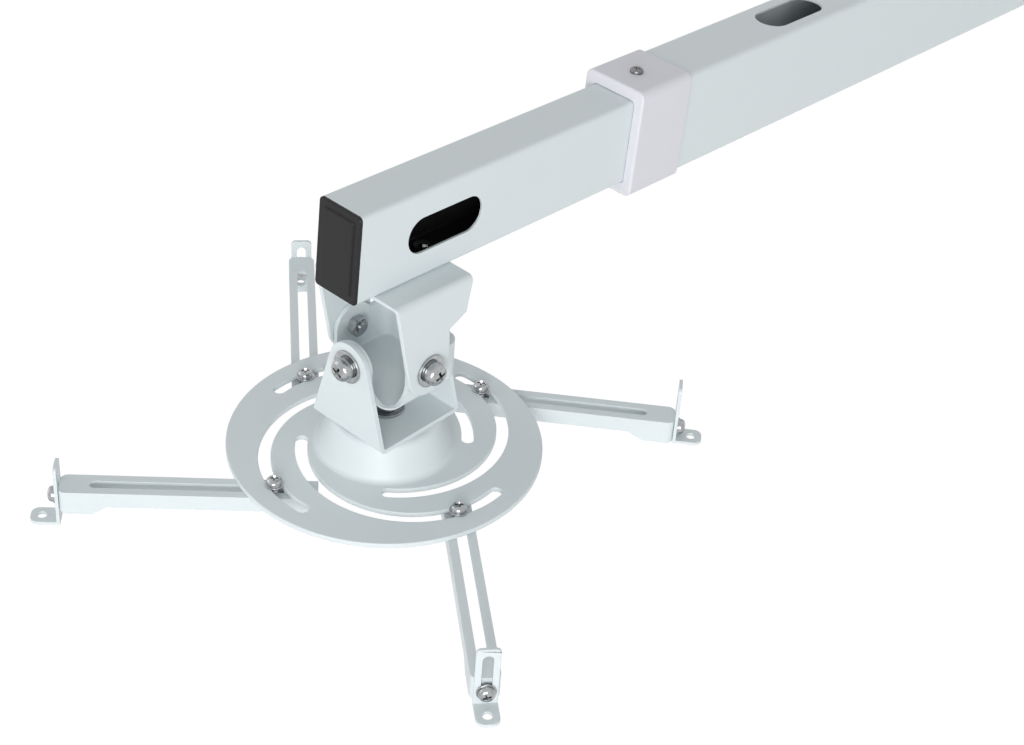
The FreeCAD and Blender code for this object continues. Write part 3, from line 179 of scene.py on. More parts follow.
def make_skin_texture():
    """Shared effect: a fine skin for bumps and a slow cloud for tone and gloss."""
    group = bpy.data.node_groups.new("skin_texture", "ShaderNodeTree")
    group.interface.new_socket("Vector", in_out="INPUT", socket_type="NodeSocketVector")
    for name, value in (("Skin Scale", 1200.0), ("Cloud Scale", 18.0), ("Speck Share", 0.25)):
        socket = group.interface.new_socket(name, in_out="INPUT", socket_type="NodeSocketFloat")
        socket.default_value = value
    group.interface.new_socket("Skin", in_out="OUTPUT", socket_type="NodeSocketFloat")
    group.interface.new_socket("Cloud", in_out="OUTPUT", socket_type="NodeSocketFloat")
    given = group.nodes.new("NodeGroupInput")
    result = group.nodes.new("NodeGroupOutput")
    peel = group.nodes.new("ShaderNodeTexNoise")
    peel.inputs["Detail"].default_value = 1.5
    speck = group.nodes.new("ShaderNodeTexNoise")
    speck.inputs["Detail"].default_value = 3.0
    finer = group.nodes.new("ShaderNodeMath")
    finer.operation = "MULTIPLY"
    finer.inputs[1].default_value = speck_to_peel_scale
    blend = group.nodes.new("ShaderNodeMix")
    cloud = group.nodes.new("ShaderNodeTexNoise")
    cloud.inputs["Detail"].default_value = 3.0
    link = group.links.new
    link(given.outputs["Vector"], peel.inputs["Vector"])
    link(given.outputs["Skin Scale"], peel.inputs["Scale"])
    link(given.outputs["Vector"], speck.inputs["Vector"])
    link(given.outputs["Skin Scale"], finer.inputs[0])
    link(finer.outputs[0], speck.inputs["Scale"])
    link(given.outputs["Speck Share"], blend.inputs["Factor"])
    link(peel.outputs["Fac"], blend.inputs[2])
    link(speck.outputs["Fac"], blend.inputs[3])
    link(given.outputs["Vector"], cloud.inputs["Vector"])
    link(given.outputs["Cloud Scale"], cloud.inputs["Scale"])
    link(blend.outputs[0], result.inputs["Skin"])
    link(cloud.outputs["Fac"], result.inputs["Cloud"])
    return group


skin_texture = make_skin_texture()


def make_finish(
    name, dark, light, roughness, skin_scale, bump_depth, metallic=0.0, speck=0.25, patch=18.0
):
    """A surface whose tone and gloss drift slightly and whose skin is finely bumped."""
    material = bpy.data.materials.new(name)
    material.use_nodes = True
    tree = material.node_tree
    shader = tree.nodes["Principled BSDF"]
    shader.inputs["Metallic"].default_value = metallic
    where = tree.nodes.new("ShaderNodeTexCoord")
    skin = tree.nodes.new("ShaderNodeGroup")
    skin.node_tree = skin_texture
    skin.inputs["Skin Scale"].default_value = skin_scale
    skin.inputs["Speck Share"].default_value = speck
    skin.inputs["Cloud Scale"].default_value = patch
    tone = tree.nodes.new("ShaderNodeMix")
    tone.data_type = "RGBA"
    tone.inputs[mix_first].default_value = (*dark, 1)
    tone.inputs[mix_second].default_value = (*light, 1)
    gloss = tree.nodes.new("ShaderNodeMapRange")
    gloss.inputs["From Min"].default_value = 0.3
    gloss.inputs["From Max"].default_value = 0.7
    gloss.inputs["To Min"].default_value = roughness[0]
    gloss.inputs["To Max"].default_value = roughness[1]
    bump = tree.nodes.new("ShaderNodeBump")
    bump.inputs["Strength"].default_value = 0.6
    bump.inputs["Distance"].default_value = bump_depth
    link = tree.links.new
    link(where.outputs["Object"], skin.inputs["Vector"])
    link(skin.outputs["Cloud"], tone.inputs["Factor"])
    link(tone.outputs[mix_result], shader.inputs["Base Color"])
    link(skin.outputs["Cloud"], gloss.inputs["Value"])
    link(gloss.outputs[0], shader.inputs["Roughness"])
    link(skin.outputs["Skin"], bump.inputs["Height"])
    link(bump.outputs["Normal"], shader.inputs["Normal"])
    return material


white_dark = (0.695, 0.755, 0.768)
white_light = (0.722, 0.782, 0.796)
white_look = (white_dark, white_light, (0.34, 0.46), 1100.0, 0.00006)
white_coat = make_finish("white_powder_coat", *white_look)


def make_soft_shading():
    """Shades a node's flat and rolled faces smoothly, for the weighted normals that follow."""
    tree = bpy.data.node_groups.new("soft_shading", "GeometryNodeTree")
    tree.interface.new_socket("Geometry", in_out="INPUT", socket_type="NodeSocketGeometry")
    tree.interface.new_socket("Geometry", in_out="OUTPUT", socket_type="NodeSocketGeometry")
    given = tree.nodes.new("NodeGroupInput")
    result = tree.nodes.new("NodeGroupOutput")
    smooth = tree.nodes.new("GeometryNodeSetShadeSmooth")
    tree.links.new(given.outputs[0], smooth.inputs["Geometry"])
    tree.links.new(smooth.outputs[0], result.inputs[0])
    return tree


soft_shading = make_soft_shading()
same_point = 0.000002
same_plane = math.radians(0.6)
edge_from = math.radians(40)


def finish_node(name, material, edge_radius):
    """Gives a CAD piece its finish and the small rounding that its coat leaves on every edge."""
    node = frame["nodes"][name]
    node.data.materials.clear()
    node.data.materials.append(material)
    weld = node.modifiers.new("joined_faces", "WELD")
    weld.merge_threshold = same_point
    flat = node.modifiers.new("whole_faces", "DECIMATE")
    flat.decimate_type = "DISSOLVE"
    flat.angle_limit = same_plane
    edge = node.modifiers.new("coated_edges", "BEVEL")
    edge.width = edge_radius
    edge.segments = 2
    edge.limit_method = "ANGLE"
    edge.angle_limit = edge_from
    smooth = node.modifiers.new("soft_shading", "NODES")
    smooth.node_group = soft_shading
    node.modifiers.new("even_normals", "WEIGHTED_NORMAL")


finish_node("wall_plate", white_coat, 0.0006)


def rule_inputs(tree, names):
    """Named inputs of a piece's rule: the places to fill, its sizes and its material."""
    tree.interface.new_socket("Places", in_out="INPUT", socket_type="NodeSocketGeometry")
    for name in names:
        tree.interface.new_socket(name, in_out="INPUT", socket_type="NodeSocketFloat")
    tree.interface.new_socket("Material", in_out="INPUT", socket_type="NodeSocketMaterial")
    tree.interface.new_socket("Geometry", in_out="OUTPUT", socket_type="NodeSocketGeometry")
    return tree.nodes.new("NodeGroupInput")


def rule_math(tree, operation, *values):
    """One step of arithmetic between sockets and plain numbers."""
    step = tree.nodes.new("ShaderNodeMath")
    step.operation = operation
    for index, value in enumerate(values):
        if isinstance(value, (int, float)):
            step.inputs[index].default_value = value
        else:
            tree.links.new(value, step.inputs[index])
    return step.outputs[0]


def rule_vector(tree, x, y, z):
    """A vector from three sockets or plain numbers."""
    step = tree.nodes.new("ShaderNodeCombineXYZ")
    for index, value in enumerate((x, y, z)):
        if isinstance(value, (int, float)):
            step.inputs[index].default_value = value
        else:
            tree.links.new(value, step.inputs[index])
    return step.outputs[0]


seam_width = 0.00001


def rule_join(tree, *parts):
    """Parts as one mesh, with touching points merged."""
    joined = tree.nodes.new("GeometryNodeJoinGeometry")
    for part in reversed(parts):
        tree.links.new(part, joined.inputs[0])
    merged = tree.nodes.new("GeometryNodeMergeByDistance")
    merged.inputs["Distance"].default_value = seam_width
    tree.links.new(joined.outputs[0], merged.inputs["Geometry"])
    return merged.outputs[0]


crisp_from = math.radians(32)


def rule_finish(tree, given, shape):
    """Puts the shape on every place, turned as the place says, as one plain mesh."""
    soft = tree.nodes.new("GeometryNodeSetShadeSmooth")
    tree.links.new(shape, soft.inputs["Geometry"])
    angle = tree.nodes.new("GeometryNodeInputMeshEdgeAngle")
    gentle = rule_math(tree, "LESS_THAN", angle.outputs["Unsigned Angle"], crisp_from)
    crisp = tree.nodes.new("GeometryNodeSetShadeSmooth")
    crisp.domain = "EDGE"
    tree.links.new(soft.outputs[0], crisp.inputs["Geometry"])
    tree.links.new(gentle, crisp.inputs["Shade Smooth"])
    turn = tree.nodes.new("GeometryNodeInputNamedAttribute")
    turn.data_type = "FLOAT_VECTOR"
    turn.inputs["Name"].default_value = "turn"
    copies = tree.nodes.new("GeometryNodeInstanceOnPoints")
    tree.links.new(given.outputs["Places"], copies.inputs["Points"])
    tree.links.new(crisp.outputs[0], copies.inputs["Instance"])
    tree.links.new(turn.outputs[0], copies.inputs["Rotation"])
    real = tree.nodes.new("GeometryNodeRealizeInstances")
    tree.links.new(copies.outputs[0], real.inputs["Geometry"])
    coat = tree.nodes.new("GeometryNodeSetMaterial")
    tree.links.new(real.outputs[0], coat.inputs["Geometry"])
    tree.links.new(given.outputs["Material"], coat.inputs["Material"])
    result = tree.nodes.new("NodeGroupOutput")
    tree.links.new(coat.outputs[0], result.inputs["Geometry"])


def make_by_rule(label, rule, values, places):
    """A plain mesh object with the rule's shape on each of the places."""
    spots = bpy.data.meshes.new(label + "_places")
    spots.from_pydata([place.to_translation() for place in places], [], [])
    turns = spots.attributes.new("turn", "FLOAT_VECTOR", "POINT")
    for index, place in enumerate(places):
        turns.data[index].vector = place.to_euler("XYZ")
    holder = bpy.data.objects.new(label, spots)
    scene.collection.objects.link(holder)
    modifier = holder.modifiers.new("rule", "NODES")
    modifier.node_group = rule
    for socket in rule.interface.items_tree:
        if socket.item_type == "SOCKET" and socket.in_out == "INPUT" and socket.name in values:
            modifier[socket.identifier] = values[socket.name]
    bpy.context.view_layer.update()
    made = holder.evaluated_get(bpy.context.evaluated_depsgraph_get())
    mesh = bpy.data.meshes.new_from_object(made)
    mesh.name = label
    holder.modifiers.clear()
    holder.data = mesh
    bpy.data.meshes.remove(spots)
    return holder


def make_weld_rule():
    """A weld bead of overlapping ripples round the foot of a rectangular tube."""
    tree = bpy.data.node_groups.new("weld_bead", "GeometryNodeTree")
    given = rule_inputs(tree, ("Width", "Height", "Corner", "Leg", "Bulge", "Ripples"))
    leg = given.outputs["Leg"]
    foot = tree.nodes.new("GeometryNodeCurvePrimitiveQuadrilateral")
    tree.links.new(given.outputs["Width"], foot.inputs["Width"])
    tree.links.new(given.outputs["Height"], foot.inputs["Height"])
    rounded = tree.nodes.new("GeometryNodeFilletCurve")
    rounded.mode = "POLY"
    rounded.inputs["Count"].default_value = 8
    tree.links.new(foot.outputs["Curve"], rounded.inputs["Curve"])
    tree.links.new(given.outputs["Corner"], rounded.inputs["Radius"])

    grid = tree.nodes.new("GeometryNodeMeshGrid")
    grid.inputs["Vertices X"].default_value = 601
    grid.inputs["Vertices Y"].default_value = 17
    place = tree.nodes.new("GeometryNodeInputPosition")
    parts = tree.nodes.new("ShaderNodeSeparateXYZ")
    tree.links.new(place.outputs[0], parts.inputs[0])
    share = rule_math(tree, "ADD", parts.outputs["X"], 0.5)
    round_bead = rule_math(tree, "ADD", parts.outputs["Y"], 0.5)
    lean = rule_math(tree, "MULTIPLY", round_bead, 2 * math.pi)
    along_face = rule_math(tree, "COSINE", lean)
    off_face = rule_math(tree, "SINE", lean)

    around = tree.nodes.new("GeometryNodeSampleCurve")
    around.mode = "FACTOR"
    tree.links.new(rounded.outputs["Curve"], around.inputs["Curves"])
    tree.links.new(share, around.inputs["Factor"])
    tangent = tree.nodes.new("ShaderNodeSeparateXYZ")
    tree.links.new(around.outputs["Tangent"], tangent.inputs[0])
    centre = tree.nodes.new("ShaderNodeSeparateXYZ")
    tree.links.new(around.outputs["Position"], centre.inputs[0])
    out_x = tangent.outputs["Y"]
    out_y = rule_math(tree, "MULTIPLY", tangent.outputs["X"], -1.0)

    bow = rule_math(tree, "MULTIPLY", rule_math(tree, "MULTIPLY", along_face, along_face), 0.8)
    phase = rule_math(tree, "MULTIPLY_ADD", share, given.outputs["Ripples"], bow)
    wave = rule_math(tree, "FRACT", phase)
    crest = rule_math(tree, "MULTIPLY_ADD", rule_math(tree, "POWER", wave, 0.6), 0.45, 0.75)
    rise = rule_math(tree, "MULTIPLY", given.outputs["Bulge"], crest)
    half_face = rule_math(tree, "MULTIPLY", leg, 0.68)
    middle = rule_math(tree, "MULTIPLY", leg, 0.47)
    slant = rule_math(tree, "MULTIPLY", along_face, half_face)
    proud = rule_math(tree, "MULTIPLY", off_face, rise)
    spread = rule_math(tree, "MULTIPLY", rule_math(tree, "ADD", proud, slant), math.sqrt(0.5))
    climb = rule_math(tree, "MULTIPLY", rule_math(tree, "SUBTRACT", proud, slant), math.sqrt(0.5))
    reach = rule_math(tree, "ADD", middle, spread)
    height = rule_math(tree, "ADD", middle, climb)
    x = rule_math(tree, "MULTIPLY_ADD", out_x, reach, centre.outputs["X"])
    y = rule_math(tree, "MULTIPLY_ADD", out_y, reach, centre.outputs["Y"])
    move = tree.nodes.new("GeometryNodeSetPosition")
    tree.links.new(grid.outputs["Mesh"], move.inputs["Geometry"])
    tree.links.new(rule_vector(tree, x, y, height), move.inputs["Position"])
    rule_finish(tree, given, rule_join(tree, move.outputs[0]))
    return tree


plate_face = -0.004
weld_place = Matrix.Translation((0, plate_face, 0)) @ Matrix.Rotation(math.pi / 2, 4, "X")
weld_sizes = {
    "Width": 0.037, "Height": 0.060, "Corner": 0.003,
    "Leg": 0.004, "Bulge": 0.0009, "Ripples": 110.0,
}
weld_values = dict(weld_sizes, Material=white_coat)
weld_bead = make_by_rule("weld_bead", make_weld_rule(), weld_values, [weld_place])
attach(weld_bead, "wall_arm")


# Outer tube: rectangular steel tube with the cable slot cut in its top, welded to the plate
# and coated with it, inside and out.

finish_node("outer_tube", white_coat, 0.0003)


# Collar: a moulded cover, faintly lilac beside the paint, pushed over the tube's mouth. Its
# sleeve inside guides the sliding tube.

collar_dark = (0.725, 0.722, 0.765)
collar_light = (0.755, 0.752, 0.795)
collar_plastic = make_finish(
    "collar_plastic", collar_dark, collar_light, (0.42, 0.52), 2600.0, 0.00003
)
finish_node("collar", collar_plastic, 0.0008)


# Lock screw: a plated cross-head screw through the collar's top that clamps the sliding tube.
# Every screw of the mount is made here by the same rule, from its head and shank sizes.

steel_skin = dict(skin_scale=900.0, bump_depth=0.00002, metallic=1.0, speck=0.5, patch=260.0)
plated_steel = make_finish(
    "plated_steel", (0.22, 0.23, 0.235), (0.60, 0.61, 0.62), (0.10, 0.26), **steel_skin
)
dull_steel = make_finish(
    "dull_steel", (0.10, 0.10, 0.105), (0.30, 0.30, 0.31), (0.22, 0.40), **steel_skin
)


def rule_shift(tree, geometry, vector, turn=None):
    """The geometry moved, and turned if asked."""
    step = tree.nodes.new("GeometryNodeTransform")
    tree.links.new(geometry, step.inputs["Geometry"])
    if vector is not None:
        tree.links.new(vector, step.inputs["Translation"])
    if turn is not None:
        step.inputs["Rotation"].default_value = turn
    return step.outputs[0]


def rule_lathe(tree, across, along, shape):
    """A skin round the Z axis: shape gives radius and height from the turn and the profile's run."""
    grid = tree.nodes.new("GeometryNodeMeshGrid")
    grid.inputs["Vertices X"].default_value = across
    if isinstance(along, int):
        grid.inputs["Vertices Y"].default_value = along
    else:
        tree.links.new(along, grid.inputs["Vertices Y"])
    place = tree.nodes.new("GeometryNodeInputPosition")
    parts = tree.nodes.new("ShaderNodeSeparateXYZ")
    tree.links.new(place.outputs[0], parts.inputs[0])
    share = rule_math(tree, "SUBTRACT", 0.5, parts.outputs["X"])
    turn = rule_math(tree, "MULTIPLY", share, 2 * math.pi)
    run = rule_math(tree, "ADD", parts.outputs["Y"], 0.5)
    radius, height = shape(share, run)
    x = rule_math(tree, "MULTIPLY", radius, rule_math(tree, "COSINE", turn))
    y = rule_math(tree, "MULTIPLY", radius, rule_math(tree, "SINE", turn))
    move = tree.nodes.new("GeometryNodeSetPosition")
    tree.links.new(grid.outputs["Mesh"], move.inputs["Geometry"])
    tree.links.new(rule_vector(tree, x, y, height), move.inputs["Position"])
    return move.outputs[0]


def rule_disc(tree, radius, height, sides, facing_down):
    """A flat disc that closes the end of a lathed skin."""
    disc = tree.nodes.new("GeometryNodeMeshCircle")
    disc.fill_type = "NGON"
    disc.inputs["Vertices"].default_value = sides
    tree.links.new(radius, disc.inputs["Radius"])
    skin = disc.outputs[0]
    if facing_down:
        flip = tree.nodes.new("GeometryNodeFlipFaces")
        tree.links.new(skin, flip.inputs["Mesh"])
        skin = flip.outputs[0]
    return rule_shift(tree, skin, rule_vector(tree, 0, 0, height))


def rule_cut(tree, operation, first, *others):
    """Solid arithmetic between closed meshes."""
    step = tree.nodes.new("GeometryNodeMeshBoolean")
    step.operation = operation
    step.solver = "EXACT"
    if operation == "DIFFERENCE":
        tree.links.new(first, step.inputs["Mesh 1"])
    else:
        tree.links.new(first, step.inputs["Mesh 2"])
    for other in others:
        tree.links.new(other, step.inputs["Mesh 2"])
    return step.outputs[0]


def make_screw_rule():
    """Pan head with a cross recess, and a shank with a rolled thread."""
    tree = bpy.data.node_groups.new("cross_head_screw", "GeometryNodeTree")
    given = rule_inputs(tree, ("Head Radius", "Head Height", "Shank Radius", "Shank Length", "Pitch"))
    head_radius = given.outputs["Head Radius"]
    head_height = given.outputs["Head Height"]
    shank_radius = given.outputs["Shank Radius"]
    shank_length = given.outputs["Shank Length"]
    pitch = given.outputs["Pitch"]

    def dome(share, run):
        lean = rule_math(tree, "MULTIPLY", run, math.pi / 2)
        wide = rule_math(tree, "POWER", rule_math(tree, "SINE", lean), 0.66)
        level = rule_math(tree, "MAXIMUM", rule_math(tree, "COSINE", lean), 0.0)
        high = rule_math(tree, "POWER", level, 0.66)
        radius = rule_math(tree, "MULTIPLY", head_radius, wide)
        height = rule_math(tree, "MULTIPLY", head_height, high)
        return radius, height

    head = rule_join(
        tree, rule_lathe(tree, 49, 15, dome), rule_disc(tree, head_radius, 0.0, 48, True)
    )
    wing = tree.nodes.new("GeometryNodeMeshCube")
    wing_long = rule_math(tree, "MULTIPLY", head_radius, 1.05)
    wing_thick = rule_math(tree, "MULTIPLY", head_radius, 0.24)
    wing_deep = rule_math(tree, "MULTIPLY", head_height, 1.3)
    tree.links.new(rule_vector(tree, wing_long, wing_thick, wing_deep), wing.inputs["Size"])
    place = tree.nodes.new("GeometryNodeInputPosition")
    parts = tree.nodes.new("ShaderNodeSeparateXYZ")
    tree.links.new(place.outputs[0], parts.inputs[0])
    depth_share = rule_math(tree, "DIVIDE", parts.outputs["Z"], wing_deep)
    taper = rule_math(tree, "ADD", depth_share, 1.0)
    narrow = tree.nodes.new("GeometryNodeSetPosition")
    tree.links.new(wing.outputs["Mesh"], narrow.inputs["Geometry"])
    narrow_x = rule_math(tree, "MULTIPLY", parts.outputs["X"], taper)
    narrow_y = rule_math(tree, "MULTIPLY", parts.outputs["Y"], taper)
    tree.links.new(rule_vector(tree, narrow_x, narrow_y, parts.outputs["Z"]), narrow.inputs["Position"])
    raised = rule_vector(tree, 0, 0, head_height)
    first_wing = rule_shift(tree, narrow.outputs[0], raised)
    second_wing = rule_shift(tree, narrow.outputs[0], raised, (0, 0, math.pi / 2))
    head = rule_cut(tree, "DIFFERENCE", head, first_wing)
    head = rule_cut(tree, "DIFFERENCE", head, second_wing)

    end_radius = rule_math(tree, "MULTIPLY", shank_radius, 0.9)
    neck = rule_math(tree, "MULTIPLY", head_height, 0.15)
    tail = rule_math(tree, "MULTIPLY", shank_length, -1.0)
    fall = rule_math(tree, "SUBTRACT", tail, neck)

    def thread(share, run):
        height = rule_math(tree, "MULTIPLY_ADD", run, fall, neck)
        turns = rule_math(tree, "ADD", rule_math(tree, "DIVIDE", height, pitch), share)
        depth = rule_math(tree, "MULTIPLY", rule_math(tree, "PINGPONG", turns, 0.5), pitch)
        crest = rule_math(tree, "SUBTRACT", shank_radius, depth)
        flank = rule_math(tree, "SUBTRACT", crest, end_radius)
        from_end = rule_math(tree, "PINGPONG", run, 0.5)
        between_ends = rule_math(tree, "GREATER_THAN", from_end, 0.0005)
        return rule_math(tree, "MULTIPLY_ADD", flank, between_ends, end_radius), height

    coils = rule_math(tree, "DIVIDE", shank_length, pitch)
    rows = rule_math(tree, "MULTIPLY_ADD", coils, 6.0, 1.0)
    shank = rule_join(
        tree,
        rule_lathe(tree, 25, rows, thread),
        rule_disc(tree, end_radius, tail, 24, True),
        rule_disc(tree, end_radius, neck, 24, False),
    )
    rule_finish(tree, given, rule_join(tree, head, shank))
    return tree


cross_head_screw = make_screw_rule()


def set_fasteners(label, node, body, rule, sizes, places, material=plated_steel):
    """Fills the places with one kind of fastener, as the piece that stands for any CAD node."""
    piece = make_by_rule(label, rule, dict(sizes, Material=material), places)
    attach(piece, body)
    if node:
        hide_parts(node)


lock_screw_sizes = {
    "Head Radius": 0.00375, "Head Height": 0.0026,
    "Shank Radius": 0.0025, "Shank Length": 0.0067, "Pitch": 0.0008,
}
lock_seat = Matrix.Translation((0, -0.580, 0.032))
lock_place = lock_seat @ Matrix.Rotation(0.5, 4, "Z")
set_fasteners(
    "lock_screw_thread", "lock_screw", "wall_arm",
    cross_head_screw, lock_screw_sizes, [lock_place], dull_steel,
)


# Inner tube: rectangular steel tube that slides in the collar, with an obround cable slot
# punched in its side and two bolt holes in its floor. Coated with its ends plugged, so that
# its bore stays bare steel, painted near black here as shade for the dark inside of the tube.

# Near-black bore colours in random patches: painted shade for the dark inside of the inner tube.
painted_bore_shade_dark = (0.012, 0.012, 0.013)
painted_bore_shade_light = (0.030, 0.030, 0.031)
bore_patch_scale = 160.0


def make_tube_coat(name, bore_half_width, bore_half_height):
    """The white coat, with near-black painted shade over bare steel on everything within the tube's bore.
    """
    material = make_finish(name, *white_look)
    tree = material.node_tree
    shader = tree.nodes["Principled BSDF"]
    link = tree.links.new
    where = tree.nodes.new("ShaderNodeTexCoord")
    parts = tree.nodes.new("ShaderNodeSeparateXYZ")
    link(where.outputs["Object"], parts.inputs[0])
    within = []
    for axis, half in (("X", bore_half_width), ("Z", bore_half_height)):
        size = tree.nodes.new("ShaderNodeMath")
        size.operation = "ABSOLUTE"
        link(parts.outputs[axis], size.inputs[0])
        test = tree.nodes.new("ShaderNodeMath")
        test.operation = "LESS_THAN"
        test.inputs[1].default_value = half
        link(size.outputs[0], test.inputs[0])
        within.append(test.outputs[0])
    inside = tree.nodes.new("ShaderNodeMath")
    inside.operation = "MULTIPLY"
    link(within[0], inside.inputs[0])
    link(within[1], inside.inputs[1])
    coat_tone = shader.inputs["Base Color"].links[0].from_socket
    bore_patch_noise = tree.nodes.new("ShaderNodeTexNoise")
    bore_patch_noise.inputs["Scale"].default_value = bore_patch_scale
    link(where.outputs["Object"], bore_patch_noise.inputs["Vector"])
    # Painted shade: the bore's near-black tone, laid over the coat everywhere within the bore.
    steel = tree.nodes.new("ShaderNodeMix")
    steel.data_type = "RGBA"
    steel.inputs[mix_first].default_value = (*painted_bore_shade_dark, 1)
    steel.inputs[mix_second].default_value = (*painted_bore_shade_light, 1)
    link(bore_patch_noise.outputs["Fac"], steel.inputs["Factor"])
    tone = tree.nodes.new("ShaderNodeMix")
    tone.data_type = "RGBA"
    link(inside.outputs[0], tone.inputs["Factor"])
    link(coat_tone, tone.inputs[mix_first])
    link(steel.outputs[mix_result], tone.inputs[mix_second])
    link(tone.outputs[mix_result], shader.inputs["Base Color"])
    return material


tube_coat = make_tube_coat("inner_tube_coat", bore_half_width=0.0131, bore_half_height=0.0236)
finish_node("inner_tube", tube_coat, 0.0003)


# Slide guide: a moulded bush pushed into the hidden end of the inner tube, so that it runs
# true in the outer tube. Same plastic as the collar.

finish_node("slide_guide", collar_plastic, 0.0004)


# End cap: black moulded plug in the inner tube's open end, with a raised panel inside its
# flange. The plastic has a fine matt grain.

cap_dark = (0.006, 0.006, 0.007)
cap_light = (0.011, 0.011, 0.012)
cap_black = make_finish("cap_black", cap_dark, cap_light, (0.42, 0.56), 3200.0, 0.00004)
cap_shader = cap_black.node_tree.nodes["Principled BSDF"]
cap_shader.inputs["Specular IOR Level"].default_value = 0.3
finish_node("end_cap", cap_black, 0.0004)


# Hanger bracket: sheet steel folded into an inverted channel with tapered ears, under the
# inner tube. Its two bolts come up from below, and their nuts lie on the tube's floor.

finish_node("hanger_bracket", white_coat, 0.0004)


def make_nut_rule():
    """Hexagon nut with its corners turned down at both faces."""
    tree = bpy.data.node_groups.new("hexagon_nut", "GeometryNodeTree")
    given = rule_inputs(tree, ("Across Flats", "Thickness", "Hole Radius"))
    across = given.outputs["Across Flats"]
    thickness = given.outputs["Thickness"]
    bar = tree.nodes.new("GeometryNodeMeshCylinder")
    bar.inputs["Vertices"].default_value = 6
    tree.links.new(rule_math(tree, "DIVIDE", across, math.sqrt(3)), bar.inputs["Radius"])
    tree.links.new(thickness, bar.inputs["Depth"])
    blank = rule_shift(tree, bar.outputs["Mesh"], None, (0, 0, math.radians(30)))
    ball = tree.nodes.new("GeometryNodeMeshUVSphere")
    ball.inputs["Segments"].default_value = 48
    ball.inputs["Rings"].default_value = 24
    ball.inputs["Radius"].default_value = 1.0
    squash = tree.nodes.new("GeometryNodeTransform")
    tree.links.new(ball.outputs["Mesh"], squash.inputs["Geometry"])
    wide = rule_math(tree, "MULTIPLY", across, 0.66)
    tall = rule_math(tree, "MULTIPLY", thickness, 0.72)
    tree.links.new(rule_vector(tree, wide, wide, tall), squash.inputs["Scale"])
    bore = tree.nodes.new("GeometryNodeMeshCylinder")
    bore.inputs["Vertices"].default_value = 24
    tree.links.new(given.outputs["Hole Radius"], bore.inputs["Radius"])
    tree.links.new(rule_math(tree, "MULTIPLY", thickness, 2.0), bore.inputs["Depth"])
    body = rule_cut(tree, "INTERSECT", blank, squash.outputs[0])
    body = rule_cut(tree, "DIFFERENCE", body, bore.outputs["Mesh"])
    lift = rule_vector(tree, 0, 0, rule_math(tree, "MULTIPLY", thickness, 0.5))
    rule_finish(tree, given, rule_shift(tree, body, lift))
    return tree


hexagon_nut = make_nut_rule()

pivot_screw_sizes = {
    "Head Radius": 0.006, "Head Height": 0.0042,
    "Shank Radius": 0.003, "Shank Length": 0.0105, "Pitch": 0.001,
}
pivot_nut_sizes = {"Across Flats": 0.010, "Thickness": 0.005, "Hole Radius": 0.003}
hanger_bolt_reach = (-0.780, -0.740)
hanger_underside = -0.0275
tube_floor = -0.0235
turned_over = Matrix.Rotation(math.pi, 4, "X")
hanger_bolt_places = [
    Matrix.Translation((0, reach, hanger_underside)) @ turned_over @ Matrix.Rotation(0.4 + reach, 4, "Z")
    for reach in hanger_bolt_reach
]
hanger_nut_places = [Matrix.Translation((0, reach, tube_floor)) for reach in hanger_bolt_reach]
set_fasteners(
    "hanger_screws", "hanger_bolts", "sliding_arm",
    cross_head_screw, pivot_screw_sizes, hanger_bolt_places,
)
set_fasteners(
    "hanger_hex_nuts", "hanger_nuts", "sliding_arm",
    hexagon_nut, pivot_nut_sizes, hanger_nut_places,
)


# Knuckle: a cup drawn from sheet steel, trimmed to four round flanges. Its side flanges tilt on
# bolts in the hanger's ears, and its front and back ones carry the bolts that the yoke rolls on.

finish_node("knuckle", white_coat, 0.0004)


saw_lean = (math.radians(30), 0, 0)


def make_washer_rule(label, split):
    """Washer with the soft edges that plating leaves, whole, or split across to lock the bolt."""
    tree = bpy.data.node_groups.new(label, "GeometryNodeTree")
    given = rule_inputs(tree, ("Outer Radius", "Hole Radius", "Thickness"))
    outer = given.outputs["Outer Radius"]
    hole = given.outputs["Hole Radius"]
    thickness = given.outputs["Thickness"]
    middle = rule_math(tree, "MULTIPLY", rule_math(tree, "ADD", outer, hole), 0.5)
    half_width = rule_math(tree, "MULTIPLY", rule_math(tree, "SUBTRACT", outer, hole), 0.5)
    half_thick = rule_math(tree, "MULTIPLY", thickness, 0.5)

    def section(share, run):
        lean = rule_math(tree, "MULTIPLY", run, 2 * math.pi)
        out = rule_math(tree, "COSINE", lean)
        up = rule_math(tree, "MULTIPLY", rule_math(tree, "SINE", lean), -1.0)

        def squared(value):
            size = rule_math(tree, "POWER", rule_math(tree, "ABSOLUTE", value), 0.3)
            return rule_math(tree, "MULTIPLY", size, rule_math(tree, "SIGN", value))

        radius = rule_math(tree, "MULTIPLY_ADD", squared(out), half_width, middle)
        height = rule_math(tree, "MULTIPLY_ADD", squared(up), half_thick, half_thick)
        return radius, height

    ring = rule_join(tree, rule_lathe(tree, 49, 25, section))
    if split:
        saw = tree.nodes.new("GeometryNodeMeshCube")
        saw_deep = rule_math(tree, "MULTIPLY", thickness, 4.0)
        tree.links.new(rule_vector(tree, outer, half_thick, saw_deep), saw.inputs["Size"])
        saw_place = rule_vector(tree, middle, 0, half_thick)
        saw_cut = rule_shift(tree, saw.outputs["Mesh"], saw_place, saw_lean)
        ring = rule_cut(tree, "DIFFERENCE", ring, saw_cut)
    rule_finish(tree, given, ring)
    return tree


flat_washer = make_washer_rule("flat_washer", split=False)
split_washer = make_washer_rule("split_washer", split=True)

